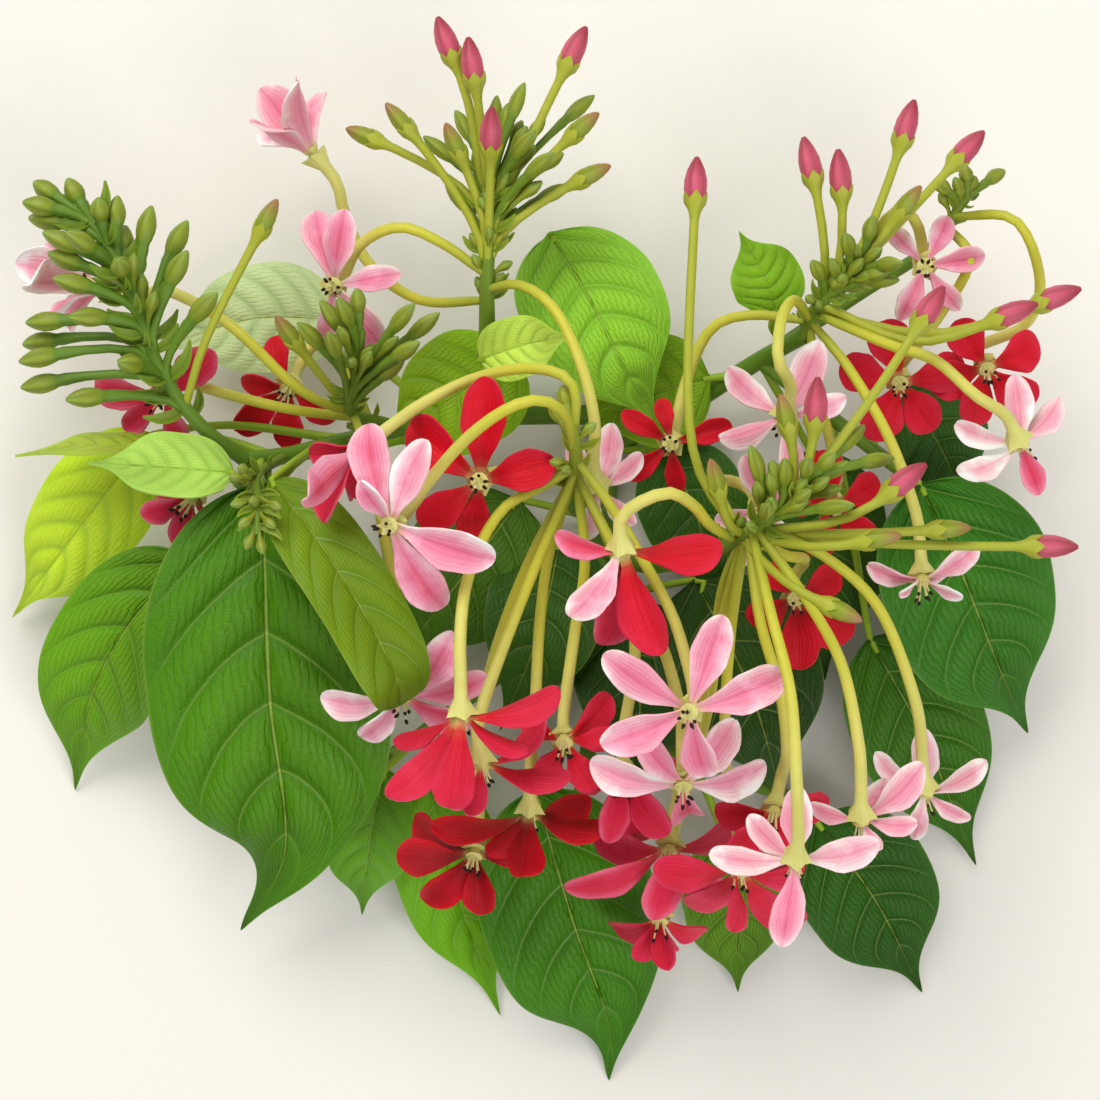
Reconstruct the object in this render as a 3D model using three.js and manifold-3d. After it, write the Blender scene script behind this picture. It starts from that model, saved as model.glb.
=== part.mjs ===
// A cut flowering spray of rangoon creeper, laid down on a flat surface: a vine with its shoots and
// leaves, flower spikes with buds and long arching floral tubes, and a five-petalled bloom on each tube.
// Millimetres, +Z up, the surface at z = 0. Points are written as they are seen from straight above.
import * as THREE from "three";
import { mergeVertices } from "three/addons/utils/BufferGeometryUtils.js";
import Module from "manifold-3d";

const wasm = await Module();
wasm.setup();

// Driving dimensions
const EYE_HEIGHT = 600; // height of the eye that the points are seen from
const SIGHT_HEIGHT = 50; // height at which a seen millimetre is a real one
const SHIFT = [4.8, 4.6]; // moves the middle of the spray to the origin
const CLEARANCE = 0.3; // gap between pieces that touch
const SEAT_SHARE = 0.9; // of a shoot's corner radius: about where its surface is
const MAIN_HEIGHT = 3; // of the main stem's axis: half of its width across flats
const MAIN_RADIUS = MAIN_HEIGHT / Math.cos(Math.PI / 6); // to its corners
const SHOOT_SIDES = 5;
const MAIN_SIDES = 6;
const PETIOLE_RADIUS = 1;
const PETIOLE_TAPER = 0.8; // radius at its end as a share of that at its start
const PETIOLE_REACH = 0.12; // into the blade, as a share of the way to the midrib's second point
const PETIOLE_SIDES = 4;
const LEAF_THICKNESS = 0.8;
const LEAF_BASE = 0.34; // share of a leaf's length in which its base reaches the full width
const LEAF_SHOULDER = 0.73; // share of a leaf's length at which its blade is down to half of its width
const BLUNT_SHOULDER = 0.98; // the same for a leaf whose tip is curled under
const LEAF_SHOULDER_WIDTH = 0.075; // how gently it narrows there
const LEAF_TIP = 0.025; // least share of the full width
const LEAF_CELLS = 5; // along a leaf
const INNER_LEAF_CELLS = 4;
const INNER_FOLD = 6; // degrees between a hidden leaf's halves and flat
const PETAL_THICKNESS = 0.7;
const PETAL_WIDTH = 4.3; // half of a full petal's width
const SPIKE_TAPER = 0.6; // radius of a spike's axis at its end as a share of that at its foot
const SPIKE_SIDES = 5;
const TUBE_RADIUS = 1.15; // of a floral tube halfway along
const TUBE_SWELL = 0.3; // change of its radius from end to end, as a share
const TUBE_SIDES = 4;
const CALYX_START = 0.94; // share of a floral tube's length at which it starts to widen into the calyx
const CALYX_RADIUS = 2.3;
const THROAT_RADIUS = 1.7;
const THROAT_LENGTH = 1.4;
const THROAT_SIDES = 5;
const PETAL_INSET = 1; // of a petal's foot from the bloom's axis
// Shares of a petal's length, each with the share of its full half width there
const PETAL_STATIONS = [[0, 0.1], [0.62, 1], [1, 0.6]];
const PETAL_SLENDERNESS = 0.24; // largest half width of a petal as a share of its length
const PETAL_TURN = 1.3; // how far the petals of a bloom seen from its side turn their flat to the eye
const PETAL_BOW = 0.35;
const PETAL_SPREAD = THREE.MathUtils.degToRad(45); // least angle between two petals of a bloom
const SPREAD_STEP = 0.5;
const SPREAD_ROUNDS = 24;
const LENGTH_PER_STEP = 15; // of a floral tube or a bud's stalk
const ROOT_INSET = 0.3; // of a stalk from its spike's axis, as a share of the axis' radius
const BUD_LIFT = 0.25; // how far a bud's stalk first runs along the axis, as a share of the way to its tip
const BUD_SIDES = 3;
const BUD_SHARE = 0.8; // most of a bud's length that its head takes
const TUBE_LEAD = 7; // straight end of a floral tube behind its bloom
const MERGE_DISTANCE = 1e-4;
const SHORT_EDGE = 0.07; // edges up to this length are closed up
const ROUGHNESS = 0.55;

const COLOURS = {
  vine: 0x5d7a2c,
  spike: 0x86a83a,
  leaf: 0x3f7d22,
  light_leaf: 0x9db82a,
  pale_leaf: 0x9fc58f,
  red: 0xc3142f,
  dark_red: 0xa11731,
  pink: 0xe87b9c,
  pale_pink: 0xf0c3cb,
};

// Shoots of the vine: name, points, radius at the start and at the end. The main stem is the first.
const MAIN_STEM = "main";
const SHOOTS = [
  [MAIN_STEM, [[12, 62, MAIN_HEIGHT], [10, -12, MAIN_HEIGHT]], MAIN_RADIUS, MAIN_RADIUS],
  ["lower", [[10, -10, 3], [9, -30, 5], [6, -50, 10]], 2.4, 1.6],
  ["low_left", [[10, -12, 3], [-6, -22, 9], [-22, -34, 15], [-33, -42, 20]], 2, 1.4],
  ["low_right", [[9, -30, 5], [28, -42, 9], [50, -50, 14]], 2, 1.4],
  ["left", [[11.5, 27, 3], [-4, 27, 8], [-22, 26, 20], [-40, 22, 33], [-52, 19, 42], [-61, 18, 51]],
    2.2, 1.7],
  ["to_top", [[12, 46, 3], [4, 46, 14], [-6, 43, 30], [-12.6, 42, 43]], 2, 1.7],
  ["right", [[11.3, 20, 3], [26, 28, 9], [42, 38, 23], [51, 43, 41]], 2.2, 1.7],
  ["to_back", [[42, 38, 23], [60, 50, 27], [76, 60, 32]], 1.6, 1.3],
  ["side_right", [[42, 38, 23], [57, 26, 28], [70, 16, 35]], 1.6, 1.4],
  ["to_east", [[10.6, 0, 3], [20, -3, 22], [29, -1, 46], [34.6, 0.6, 62]], 2, 1.7],
  ["to_middle", [[10.8, 6, 3], [6, 8, 20], [4, 12, 45], [5, 14, 64]], 2, 1.7],
];

// Leaves hidden inside the spray, which are one with the vine: root on the vine, midrib, half width,
// and the way the upper face looks
const INNER_LEAVES = [
  [[12, 46, 3], [[-6, 38, 20], [-20, 30, 24], [-34, 20, 18]], 13, [0.1, 0.2, 1]],
  [[37, 34.8, 18.6], [[32, 34.4, 18], [20, 31, 20], [6, 24, 22]], 12, [0, -0.2, 1]],
  [[10.8, 6, 3], [[-6, 10, 12], [-18, -6, 14], [-32, -24, 10]], 15, [0, 0.1, 1]],
  [[10.4, -2, 3], [[2, 2, 12], [-2, -16, 22], [-10, -36, 22]], 13, [-0.2, 0, 1]],
  [[10, -10, 3], [[14, -10, 12], [18, -30, 20], [15, -50, 18]], 14, [0.1, 0.1, 1]],
  [[10, -10, 3], [[29, -6, 14], [40, -28, 20], [47, -52, 16]], 17, [0.1, 0.1, 1]],
  [[42, 38, 23], [[52, 20, 14], [55, -2, 15], [55, -26, 11]], 14, [0, 0.1, 1]],
  [[11.3, 20, 3], [[22, 20, 9], [29, 8, 12], [33, -12, 9]], 12, [0, 0.1, 1]],
  [[64, 20.6, 31.5], [[69, 28, 25], [76, 24, 21], [84, 8, 15]], 12, [0.1, 0.1, 1]],
];

// Leaves: name, colour, root as a shoot and a share of its length, bends of the stalk, midrib, half width,
// the way the upper face looks at the base and at the tip, the fold of the halves in degrees and, where
// the blade doesn't end in a drip tip, the place of its shoulder
const LEAVES = [
  ["leaf_front_large", "leaf", ["left", 0.95], [[-58.6, 15.5, 55]],
    [[-57.4, 13, 56], [-57, -4, 55], [-56, -30, 48], [-53, -60, 34], [-61.8, -76, 20]], 25,
    [0.1, 0.1, 1], [0, 0.2, 1], 6],
  ["leaf_front_curled", "light_leaf", ["left", 0.8], [[-52, 17, 57]],
    [[-56, 13.6, 64], [-48, 4, 70], [-37.6, -12, 74], [-31, -25, 72], [-30, -31, 66]], 8.5,
    [0.3, 0.2, 1], [0.3, 0.2, 1], 14, BLUNT_SHOULDER],
  ["leaf_left_small", "leaf", ["left", 0.96], [[-62.4, 13, 53]],
    [[-63.4, 15.4, 60], [-77, 16.5, 63], [-92.5, 17.5, 61]], 7.5, [0, 0.5, 1], [0, 0.4, 1], 20],
  ["leaf_left_light", "light_leaf", ["left", 0.7], [[-64, 25, 33]],
    [[-80, 23, 32], [-93.5, 5, 24], [-107.5, -13.4, 4]], 12, [0.2, 0.2, 1], [0.1, 0.3, 1], 8],
  ["leaf_left_low", "leaf", ["left", 0.82], [[-60, 8, 38]],
    [[-72, -2, 36], [-83.5, -14, 32], [-92, -30, 20], [-95, -48, 0.6]], 14, [0.1, 0.3, 1], [0.1, 0.3, 1], 8],
  ["leaf_left_edge", "light_leaf", ["left", 0.9], [[-66, 22, 44]],
    [[-76, 20, 44], [-92, 21, 44], [-107, 19, 38]], 6.5, [0, 1, 0.35], [0, 1, 0.5], 10],
  ["leaf_bottom_left", "leaf", ["low_left", 0.96], [[-29, -40, 26]],
    [[-33, -44, 31], [-36, -58, 27], [-37.6, -73, 11]], 9, [0, 0.2, 1], [0.2, 0.3, 1], 8],
  ["leaf_bottom_bright", "light_leaf", ["low_left", 0.6], [[-22, -38, 15]],
    [[-25, -44, 18], [-19.5, -66, 12], [-10, -93, 1]], 12, [0, 0.1, 1], [0.1, 0.3, 1], 8],
  ["leaf_bottom_large", "leaf", ["lower", 0.5], [[3, -40, 20]],
    [[-3, -48, 28], [4.5, -74, 22], [11.5, -94, 10], [11.8, -106, 0.6]], 19, [0, 0.1, 1], [0, 0.3, 1], 6],
  ["leaf_bottom_right", "leaf", ["low_right", 0.5], [[32, -50, 15]],
    [[34.6, -57, 18], [37, -74, 12], [37.6, -88.4, 2]], 11, [0, 0.1, 1], [0, 0.3, 1], 8],
  ["leaf_right_low", "leaf", ["low_right", 1], [[51.5, -52, 16.5]],
    [[53, -54, 19], [65, -70, 13], [74.4, -88.4, 0.6]], 15, [0, 0.1, 1], [0, 0.3, 1], 8],
  ["leaf_right_middle", "leaf", ["side_right", 0.5], [[60, 6, 22]],
    [[64, -18, 20], [75, -38, 13], [85.2, -63, 3]], 15, [0.1, 0.1, 1], [0, 0.3, 1], 8],
  ["leaf_right_large", "leaf", ["side_right", 1], [[72, 14.6, 37]],
    [[74, 13, 38], [82, -4, 35], [90, -24, 24], [95.6, -36.6, 12]], 19, [0.1, 0.1, 1], [0.1, 0.2, 1], 8],
  ["leaf_top_round", "leaf", ["main", 0.12], [[4, 62, 18]],
    [[0, 63, 28], [8, 50, 34], [15, 36, 34], [22, 24, 27]], 15, [0.1, 0.1, 1], [0.1, 0.1, 1], 6],
  ["leaf_top_pointed", "leaf", ["to_back", 0.15], [[44.4, 44.6, 28]],
    [[45.2, 47.4, 31], [43.8, 53, 33], [37.8, 63.8, 33]], 7.5, [0, -0.1, 1], [0, 0, 1], 6],
  ["leaf_top_middle", "light_leaf", ["to_top", 0.75], [[-11, 37, 41]],
    [[-14, 38, 46], [-5, 41, 50], [5, 43, 48]], 6.5, [0, -0.2, 1], [0, 0, 1], 12],
  ["leaf_top_pale", "pale_leaf", ["left", 0.42], [[-33, 36, 13]],
    [[-42, 46, 16], [-60, 46, 15], [-79, 40, 11]], 12, [0, 0, 1], [0, 0.2, 1], 6],
];

// Flower spikes: name, root as a shoot and a share of its length, further points of the axis, radius at its
// foot, and buds. A bud is the place of its root along the axis, its tip, its kind and, where it bends,
// a point that it passes.
const SPIKES = [
  ["spike_left", ["left", 1], [[-70, 25, 58], [-78, 36, 62], [-83, 50, 64], [-89, 62, 64], [-95, 69, 62]], 1.6, [
    [0.42, [-106.4, 37.6, 66], "green"], [0.33, [-106, 32.4, 62], "green"], [0.25, [-97, 30, 68], "green"],
    [0.5, [-105, 45.4, 62], "green"], [0.45, [-105.6, 41, 57], "green"], [0.52, [-96.4, 46.6, 70], "green"],
    [0.58, [-99.6, 54.4, 67], "green"], [0.64, [-100.6, 59.4, 62], "green"], [0.7, [-101.6, 63.6, 66], "green"],
    [0.72, [-96.8, 63.6, 71], "green"], [0.92, [-105.6, 69.6, 64], "green"], [0.96, [-103.4, 73.6, 60], "green"],
    [0.84, [-104.4, 66.4, 60], "green"], [0.9, [-96.6, 74.4, 62], "green"], [0.82, [-90.4, 70.6, 68], "green"],
    [0.76, [-86.4, 71, 64], "green"], [0.7, [-85, 65, 60], "green"], [0.6, [-79.6, 69, 66], "green"],
    [0.5, [-72.4, 66, 62], "green"], [0.46, [-72.4, 60, 68], "green"], [0.36, [-66.4, 51.6, 68], "green"],
    [0.66, [-86.4, 58, 74], "green"], [0.36, [-86.4, 37.6, 74], "green"],
    [0.26, [-54.4, 70.4, 70], "tall", [-68, 44, 66]],
  ]],
  ["spike_inner_left", ["left", 0.56], [[-40, 28, 46], [-38.6, 36, 55], [-37.6, 44, 59]], 1.4, [
    [0.4, [-55, 47, 60], "tall"], [0.6, [-50.6, 45.6, 65], "green"], [0.55, [-44.4, 43.6, 69], "green"],
    [0.78, [-46, 50, 63], "green"], [0.86, [-42.4, 50.4, 67], "green"], [0.96, [-38.6, 52.4, 62], "green"],
    [0.65, [-27, 49.4, 64], "green"], [0.5, [-22, 47.6, 58], "green"], [0.55, [-26, 41.6, 67], "green"],
    [0.4, [-29, 38.4, 61], "green"],
  ]],
  ["spike_top", ["to_top", 1], [[-12.6, 54, 50], [-12, 68, 52], [-11.6, 76, 52]], 1.8, [
    [0.6, [-22.6, 107, 52], "pink", [-16, 88, 52]], [0.7, [-16.4, 103, 56], "pink"],
    [0.65, [7.4, 105, 52], "pink", [-1, 88, 53]], [0.4, [-11.6, 89, 64], "pink"],
    [0.5, [-21, 85.6, 60], "tall"], [0.35, [-33, 89.6, 56], "tall"], [0.6, [-41, 84.4, 44], "tall"],
    [0.5, [10, 87.6, 57], "tall"], [0.4, [12.4, 77, 54], "tall"], [0.66, [9, 91, 47], "green"],
    [0.75, [-25.4, 82.8, 51], "green"], [0.86, [-19, 88, 47], "green"], [0.95, [-10.6, 91, 50], "green"],
    [0.9, [-5, 93.6, 54], "green"], [0.8, [-2.8, 84, 60], "green"], [0.6, [1, 79.6, 61], "green"],
    [0.5, [4.6, 73, 50], "green"], [0.45, [-21, 74, 50], "green"],
  ]],
  ["spike_top_right", ["right", 1], [[53, 48, 47], [58, 53, 51], [63, 58, 52]], 1.6, [
    [0.35, [50.6, 83, 52], "pink"], [0.5, [57.6, 80.6, 56], "pink"], [0.6, [73, 90.4, 54], "pink"],
    [0.7, [87, 84, 47], "pink"], [0.85, [74.4, 73, 56], "tall"], [0.9, [64.6, 67, 56], "green"],
    [0.75, [59, 63.4, 60], "green"], [0.3, [106.6, 52.4, 52], "pink", [78, 43.4, 52]],
    [0.4, [98, 49.4, 60], "pink", [74, 41.6, 57]], [0.8, [70.6, 57.4, 60], "green"], [0.6, [70, 54, 54], "green"],
    [0.45, [52.4, 58, 56], "green"],
  ]],
  ["spike_right", ["to_east", 1], [[38.4, 2.6, 69], [42, 5, 74], [48, 9.5, 76], [52, 14, 78]], 1.7, [
    [0.3, [32, 18.4, 82], "tall", [35.4, 6, 76]], [0.5, [40, 21, 82], "green"], [0.45, [43.6, 9, 88], "green"],
    [0.65, [47, 18.4, 84], "green"], [0.85, [51.6, 18.4, 86], "green"], [0.95, [57, 19.6, 82], "green"],
    [0.55, [61, 9, 84], "green"], [0.4, [75.6, 17.4, 80], "pink", [60, 6.6, 80]],
    [0.32, [70.6, 3, 86], "tall", [54, 0.6, 82]], [0.26, [62.6, -14.4, 90], "tall", [48, -7, 86]],
    [0.36, [84.4, 4.4, 72], "tall", [64, 3.4, 74]], [0.3, [106, 0.6, 68], "pink", [74, 1, 70]],
    [0.85, [53.6, 35, 82], "pink"], [0.75, [46, 31.4, 78], "tall"],
    [0.9, [79, 53, 72], "pink", [64, 30, 76]], [0.22, [29.4, 79, 66], "pink", [28, 24, 72]],
    [0.95, [69, 18.4, 72], "green"], [0.9, [63, 25, 72], "green"],
  ]],
  ["spike_middle", ["to_middle", 1], [[5.2, 17, 72], [5, 21, 78], [4.4, 25, 81]], 1.8, [
    [0.7, [0, 30, 74], "green"], [0.95, [2.4, 33, 78], "green"],
  ]],
  ["spike_back_right", ["to_back", 1], [[80, 66, 35], [84, 71, 37]], 1.3, [
    [0.9, [83, 77, 38], "green"], [0.7, [76.6, 74, 40], "green"], [0.95, [91, 76, 34], "green"],
  ]],
  ["spike_young", ["left", 0.88], [[-58.4, 15, 64], [-58.4, 10, 72], [-58.6, 3, 74]], 1.1, [
    [0.75, [-64, 9, 75], "young"], [0.75, [-53.6, 8.4, 76], "young"], [0.85, [-62.4, 4.6, 76], "young"],
    [0.85, [-54.8, 4.4, 76], "young"], [0.95, [-57.4, -1, 75], "young"], [0.92, [-61, 0, 74], "young"],
    [0.5, [-62, 16.6, 77], "young"],
  ]],
];

// Blooms: node, colour, centre, the way the bloom looks, its petal tips with their rise from the centre,
// the spike that the floral tube grows from, the place of its root along the spike's axis, and the points
// that the tube passes. Rows with one node name are one piece.
const BLOOMS = [
  ["bloom_front_pink", "pink", [28, -31.6, 86], [-0.15, -0.35, 0.92],
    [[10.6, -21, 2], [34.8, -13, 1], [47.2, -24.6, -1], [10.2, -39, 1], [31, -45, -8]],
    "spike_middle", 0.5, [[12, 9, 76], [18, -1, 75], [24, -12, 78], [27, -21, 79]]],
  ["bloom_front_pink_low", "pink", [26.6, -46, 69], [0, -0.75, 0.66],
    [[8, -42.4, 0], [18, -37, 7], [37, -33.6, 7], [43.6, -43.6, 0], [28, -54, -12]],
    "spike_middle", 0.2, [[14, -2, 73], [22, -18, 68], [26, -32, 64]]],
  ["bloom_centre", "red", [14.4, 0.6, 86], [0, -0.8, -0.5],
    [[1, 3, 1], [4, -14, 4], [9, -19, -5], [22, -21, -4], [34.6, 1, 0]],
    "spike_right", 0.2, [[32, 5, 79], [28.6, 9, 87], [23, 11.4, 92]]],
  ["bloom_upper_red", "red", [-14, 14, 70], [-0.05, -0.15, 0.98],
    [[-12.6, 35, 7], [1, 17.5, 4], [-15.4, 3, -6], [-26, 5, -2], [-28, 25, -3]],
    "spike_middle", 0.4, [[-2, 15, 67], [-8, 16, 60]]],
  ["bloom_left_pink", "pink", [-31.4, 5.6, 85], [-0.35, -0.3, 0.85],
    [[-36.4, 25.4, 0], [-25, 22, 3], [-11, -1.6, -3], [-21.4, -10.6, -8], [-38, 14, 8]],
    "spike_middle", 0.75, [[3, 27, 86], [-2, 30, 90], [-9, 28, 90], [-17, 22, 86], [-24, 14, 80]]],
  ["bloom_far_left_pink", "pink", [-36.8, 21, 76], [-0.75, -0.6, 0.2],
    [[-48.4, 19, -3], [-47.4, 10, 8], [-46, 6, 1], [-36.4, 9.6, -6], [-41, 13, -16]],
    "spike_middle", 0.9, [[5, 32, 82], [1, 35.6, 80], [-7, 36.2, 75], [-16, 34, 71], [-25, 29.6, 71]]],
  ["bloom_lower_red", "red", [-17.8, -32.4, 82], [0, -0.9, -0.3],
    [[-31.6, -38, -4], [-32, -50, 2], [-20.4, -52, 7], [2, -28.4, 0], [-5, -41, -2]],
    "spike_middle", 0.35, [[-2, 12.5, 72], [-9, 8.6, 70], [-14, 1, 73], [-17, -8, 80], [-18, -18, 84]]],
  ["bloom_lower_red_second", "red", [-13.6, -42, 70], [0.1, -0.9, -0.2],
    [[-16, -53.4, 6], [4, -45.6, 2], [-26, -46, -5], [-24, -40, -3], [-1, -34, 0]],
    "spike_middle", 0.3, [[2, 8, 68], [-4, -6, 65], [-11, -24, 69]]],
  ["bloom_dark_cluster", "dark_red", [-4, -52, 56], [0, -0.9, -0.3],
    [[-5.2, -65, 5], [-24, -55, -2], [11, -56, 0], [8, -50, -9], [-12.4, -61, -1]],
    "spike_middle", 0.24, [[0, 0, 60], [-2, -14, 56], [-3, -32, 57]]],
  ["bloom_dark_cluster", "dark_red", [-15, -60, 48], [-0.1, -0.7, 0.6],
    [[-31, -60.6, 0], [-13, -73, 0], [-3, -60, 0], [-28, -54, 0], [-25, -71, -2]],
    "spike_middle", 0.2, [[-5, -4, 52], [-12, -24, 42], [-15, -42, 40]]],
  ["bloom_yellow_throat", "red", [2.8, -37.4, 66], [0, -0.6, 0.7],
    [[14, -37, 2], [-5, -33.6, -2], [9, -48, -1], [-2, -46, -6], [12, -29, -1]],
    "spike_middle", 0.16, [[7, -2, 66], [5, -16, 61]]],
  ["bloom_bottom_red", "red", [14.6, -44, 55], [0, -0.8, 0.5],
    [[11.4, -58.6, 4], [24, -57, 4], [4, -46, -1], [26, -42.6, -3], [20, -58, -6]],
    "spike_middle", 0.18, [[14, -4, 58], [17, -20, 52]]],
  ["bloom_bottom_red", "red", [24, -59, 50], [-0.1, -0.75, 0.5],
    [[3.4, -68.4, 2], [21, -74, 5], [9, -56, -4], [38, -55.4, -5], [34, -68, -6]],
    "spike_right", 0.26, [[33, -20, 54], [29, -36, 45]]],
  ["bloom_lowest_red", "dark_red", [22, -73, 36], [0, -0.75, 0.5],
    [[24, -84.4, 1], [17, -82, 0], [31, -77, -6], [12, -76, -6], [22, -80, -12]],
    "spike_right", 0.22, [[34, -10, 56], [32, -30, 42], [26, -52, 32]]],
  ["bloom_droplet_red", "red", [37.8, -63.4, 60], [0, -0.8, 0.45],
    [[20.6, -63.6, 2], [37.2, -76.4, 7], [51, -64, -6], [28, -72, -9], [50, -75, -6]],
    "spike_right", 0.3, [[36, -18, 62], [35, -40, 55]]],
  ["bloom_right_white", "pale_pink", [49.2, -61.4, 82], [0, -0.65, -0.6],
    [[31.8, -61, -2], [39.8, -53.6, -6], [49.6, -48, -10], [65.8, -58.8, -4], [46.4, -79.4, 4]],
    "spike_right", 0.42, [[44, -12, 84], [48, -28, 90], [49.2, -44, 93]]],
  ["bloom_right_hidden_red", "red", [45, -51.4, 62], [-0.2, -0.75, 0.5],
    [[36, -60, 3], [33, -52, 0], [50, -61, 2], [56, -50, 1], [44, -64, -9]],
    "spike_right", 0.36, [[42, -14, 76], [46, -28, 73], [47.4, -40, 66]]],
  ["bloom_right_pink", "pale_pink", [62.2, -53, 70], [0.05, -0.75, -0.45],
    [[52, -51, -4], [67.4, -45, -10], [74.8, -43, -6], [73.4, -55, 0], [66.2, -60, 4]],
    "spike_right", 0.46, [[50, -8, 78], [58, -22, 79], [61.6, -38, 77]]],
  ["bloom_far_right_pale", "pale_pink", [74.8, -47.6, 48], [0.1, -0.8, -0.4],
    [[87.4, -42.4, 0], [75, -36, -8], [65, -41, -5], [73, -58, 4], [84, -54, 2]],
    "spike_right", 0.52, [[56, -2, 72], [66, -12, 68], [73, -30, 62]]],
  ["bloom_right_shelf", "pale_pink", [74.4, -5, 52], [0, -0.8, 0.4],
    [[63.6, -3, 2], [85.6, 1.6, 3], [80, -1, -9], [83, -9, 4], [70, -9, 6]],
    "spike_top_right", 0.16, [[60, 36, 50], [68, 22, 53], [73, 8, 53]]],
  ["bloom_right_fan", "pale_pink", [93.6, 22, 58], [0.4, -0.6, -0.5],
    [[81, 25, -2], [93, 35, -5], [102, 30, -6], [81.6, 15, 4], [98, 11, 0]],
    "spike_top_right", 0.28, [[68, 41, 57], [77, 38, 64], [85, 31, 66]]],
  ["bloom_upper_right_pink", "pink", [47, 27.4, 62], [-0.1, -0.65, -0.6],
    [[35.6, 36.4, -4], [54, 41.4, -7], [59.4, 31, -3], [34, 22, 2], [50, 14, 3]],
    "spike_top_right", 0.2, [[49, 50, 56], [46.4, 46.6, 65], [45.6, 38, 70]]],
  ["bloom_middle_red", "red", [24.2, 21.4, 46], [-0.1, -0.1, 0.95],
    [[14.4, 27.6, 2], [22.4, 30.6, -2], [36.4, 25, 1], [16, 14, 0], [25.6, 11, 0]],
    "spike_top_right", 0.15, [[40, 47, 43], [32, 44, 41], [27, 33, 38]]],
  ["bloom_middle_pale", "pale_pink", [9.4, 13, 54], [0.1, -0.65, -0.5],
    [[12.4, 25, -6], [4, 22, -2], [18.6, 19, -2], [7, 2, 2], [17, 5, 0]],
    "spike_top", 0.2, [[-6, 53, 56], [1, 48, 61], [6.6, 36, 64], [9, 25, 62]]],
  ["bloom_upper_left_pink", "pink", [-43, 53, 52], [-0.1, -0.15, 0.9],
    [[-47, 68, 1], [-41, 68.4, 4], [-30, 55.4, 3], [-33, 40, -2], [-44.6, 41, -4]],
    "spike_top", 0.3, [[-21, 61, 53], [-30, 64.6, 52], [-38, 61, 47]]],
  ["bloom_top_left_half_open", "pink", [-47, 79, 42], [-0.6, 0.75, 0.2],
    [[-58, 92.4, 0], [-50, 94, 5], [-60, 86, 5], [-47, 92, -5], [-57, 84, -4]],
    "spike_top", 0.1, [[-26, 50, 36], [-36, 57, 34], [-41, 67, 37]]],
  ["bloom_back_left_red", "red", [-52, 33, 30], [-0.2, -0.6, 0.7],
    [[-62, 34, 0], [-52, 20, 0], [-63, 24, 0], [-43, 26, 0], [-55, 43, 0]],
    "spike_inner_left", 0.2, [[-43, 40, 35], [-47, 41, 26]]],
  ["bloom_far_left_pale", "pale_pink", [-89, 52, 36], [-0.9, 0.3, 0.2],
    [[-107, 57.4, 0], [-101, 47, 3], [-101, 61, -4], [-97, 44, -5], [-104, 53, 9]],
    "spike_inner_left", 0.3, [[-50, 32, 49], [-64, 45, 48], [-77, 52, 42]]],
  ["bloom_left_behind", "red", [-77, 31, 37], [-0.3, -0.4, 0.75],
    [[-91, 33, -3], [-85, 24, -2], [-73, 20, 2], [-67, 40, 6], [-82, 43, 1]],
    "spike_inner_left", 0.24, [[-51, 28, 42], [-64, 31, 41], [-74, 34, 34]]],
  ["bloom_under_leaf", "red", [-71, 11, 48], [-0.5, -0.6, 0.3],
    [[-82, 7, 1], [-75, 1, -3], [-82, 15, -5], [-63, 4, -5], [-72, 6, -11]],
    "spike_inner_left", 0.16, [[-48, 12, 44], [-60, 13, 46]]],
  ["bloom_behind_curl", "pink", [-29.6, -28.4, 59], [0, -0.85, 0.4],
    [[-46, -29.6, 2], [-19.6, -17.4, 6], [-12.4, -25, 1], [-15, -33, -4], [-38, -38, -4]],
    "spike_inner_left", 0.4, [[-36, 18, 54], [-33, 2, 59], [-30, -14, 59]]],
  ["bloom_back_right_red", "red", [70, 34, 38], [-0.1, -0.4, 0.8],
    [[58, 37, 0], [64, 22, 1], [77, 24, 1], [83, 37, -3], [67, 46, 0]],
    "spike_back_right", 0.4, [[84, 58, 46], [78, 47, 38]]],
  ["bloom_back_right_red", "red", [87, 37, 34], [0.1, -0.5, 0.7],
    [[75, 34, 2], [84, 25, 1], [97, 29, 0], [98, 42, 0], [81, 46, 3]],
    "spike_back_right", 0.6, [[93, 66, 44], [98, 54, 38], [95, 45, 27]]],
  ["bloom_top_right_pink", "pink", [75, 57, 46], [-0.1, -0.2, 0.8],
    [[67.6, 65, 0], [87.4, 59, 0], [82, 48, 0], [70, 46, 1], [80, 67, -3]],
    "spike_top_right", 0.9, [[68, 67, 50], [73, 66, 42]]],
  ["bloom_behind_right_spike", "pale_pink", [42, 9, 48], [0.3, -0.5, 0.75],
    [[33, 5.6, 0], [39, 19, 2], [50, 15, 0], [47, 1, 0], [38, -3, 0]],
    "spike_right", 0.26, [[33.4, 12, 57], [35, 14, 45]]],
  ["bloom_behind_right_red", "red", [57, 9, 38], [0, -0.3, 0.9],
    [[46, 12, 0], [54, 20, 0], [66, 14, 0], [64, 1, 0], [52, -1, 0]],
    "spike_top_right", 0.12, [[53, 34, 38], [56, 22, 29], [57.6, 14, 28]]],
  ["bloom_right_dark", "dark_red", [49, -9, 46], [0, -0.45, 0.85],
    [[39.6, -14, 0], [50, -24, 1], [60, -18, 0], [58, -4, -1], [43, -3, 0]],
    "spike_right", 0.3, [[47, -1, 60], [51, -2, 44]]],
];

// A seen point as a real one.
function at([x, y, z]) {
  const scale = (EYE_HEIGHT - z) / (EYE_HEIGHT - SIGHT_HEIGHT);
  return new THREE.Vector3(x * scale + SHIFT[0], y * scale + SHIFT[1], z);
}

function curveThrough(points) {
  return new THREE.CatmullRomCurve3(points, false, "catmullrom", 0.5);
}

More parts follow.
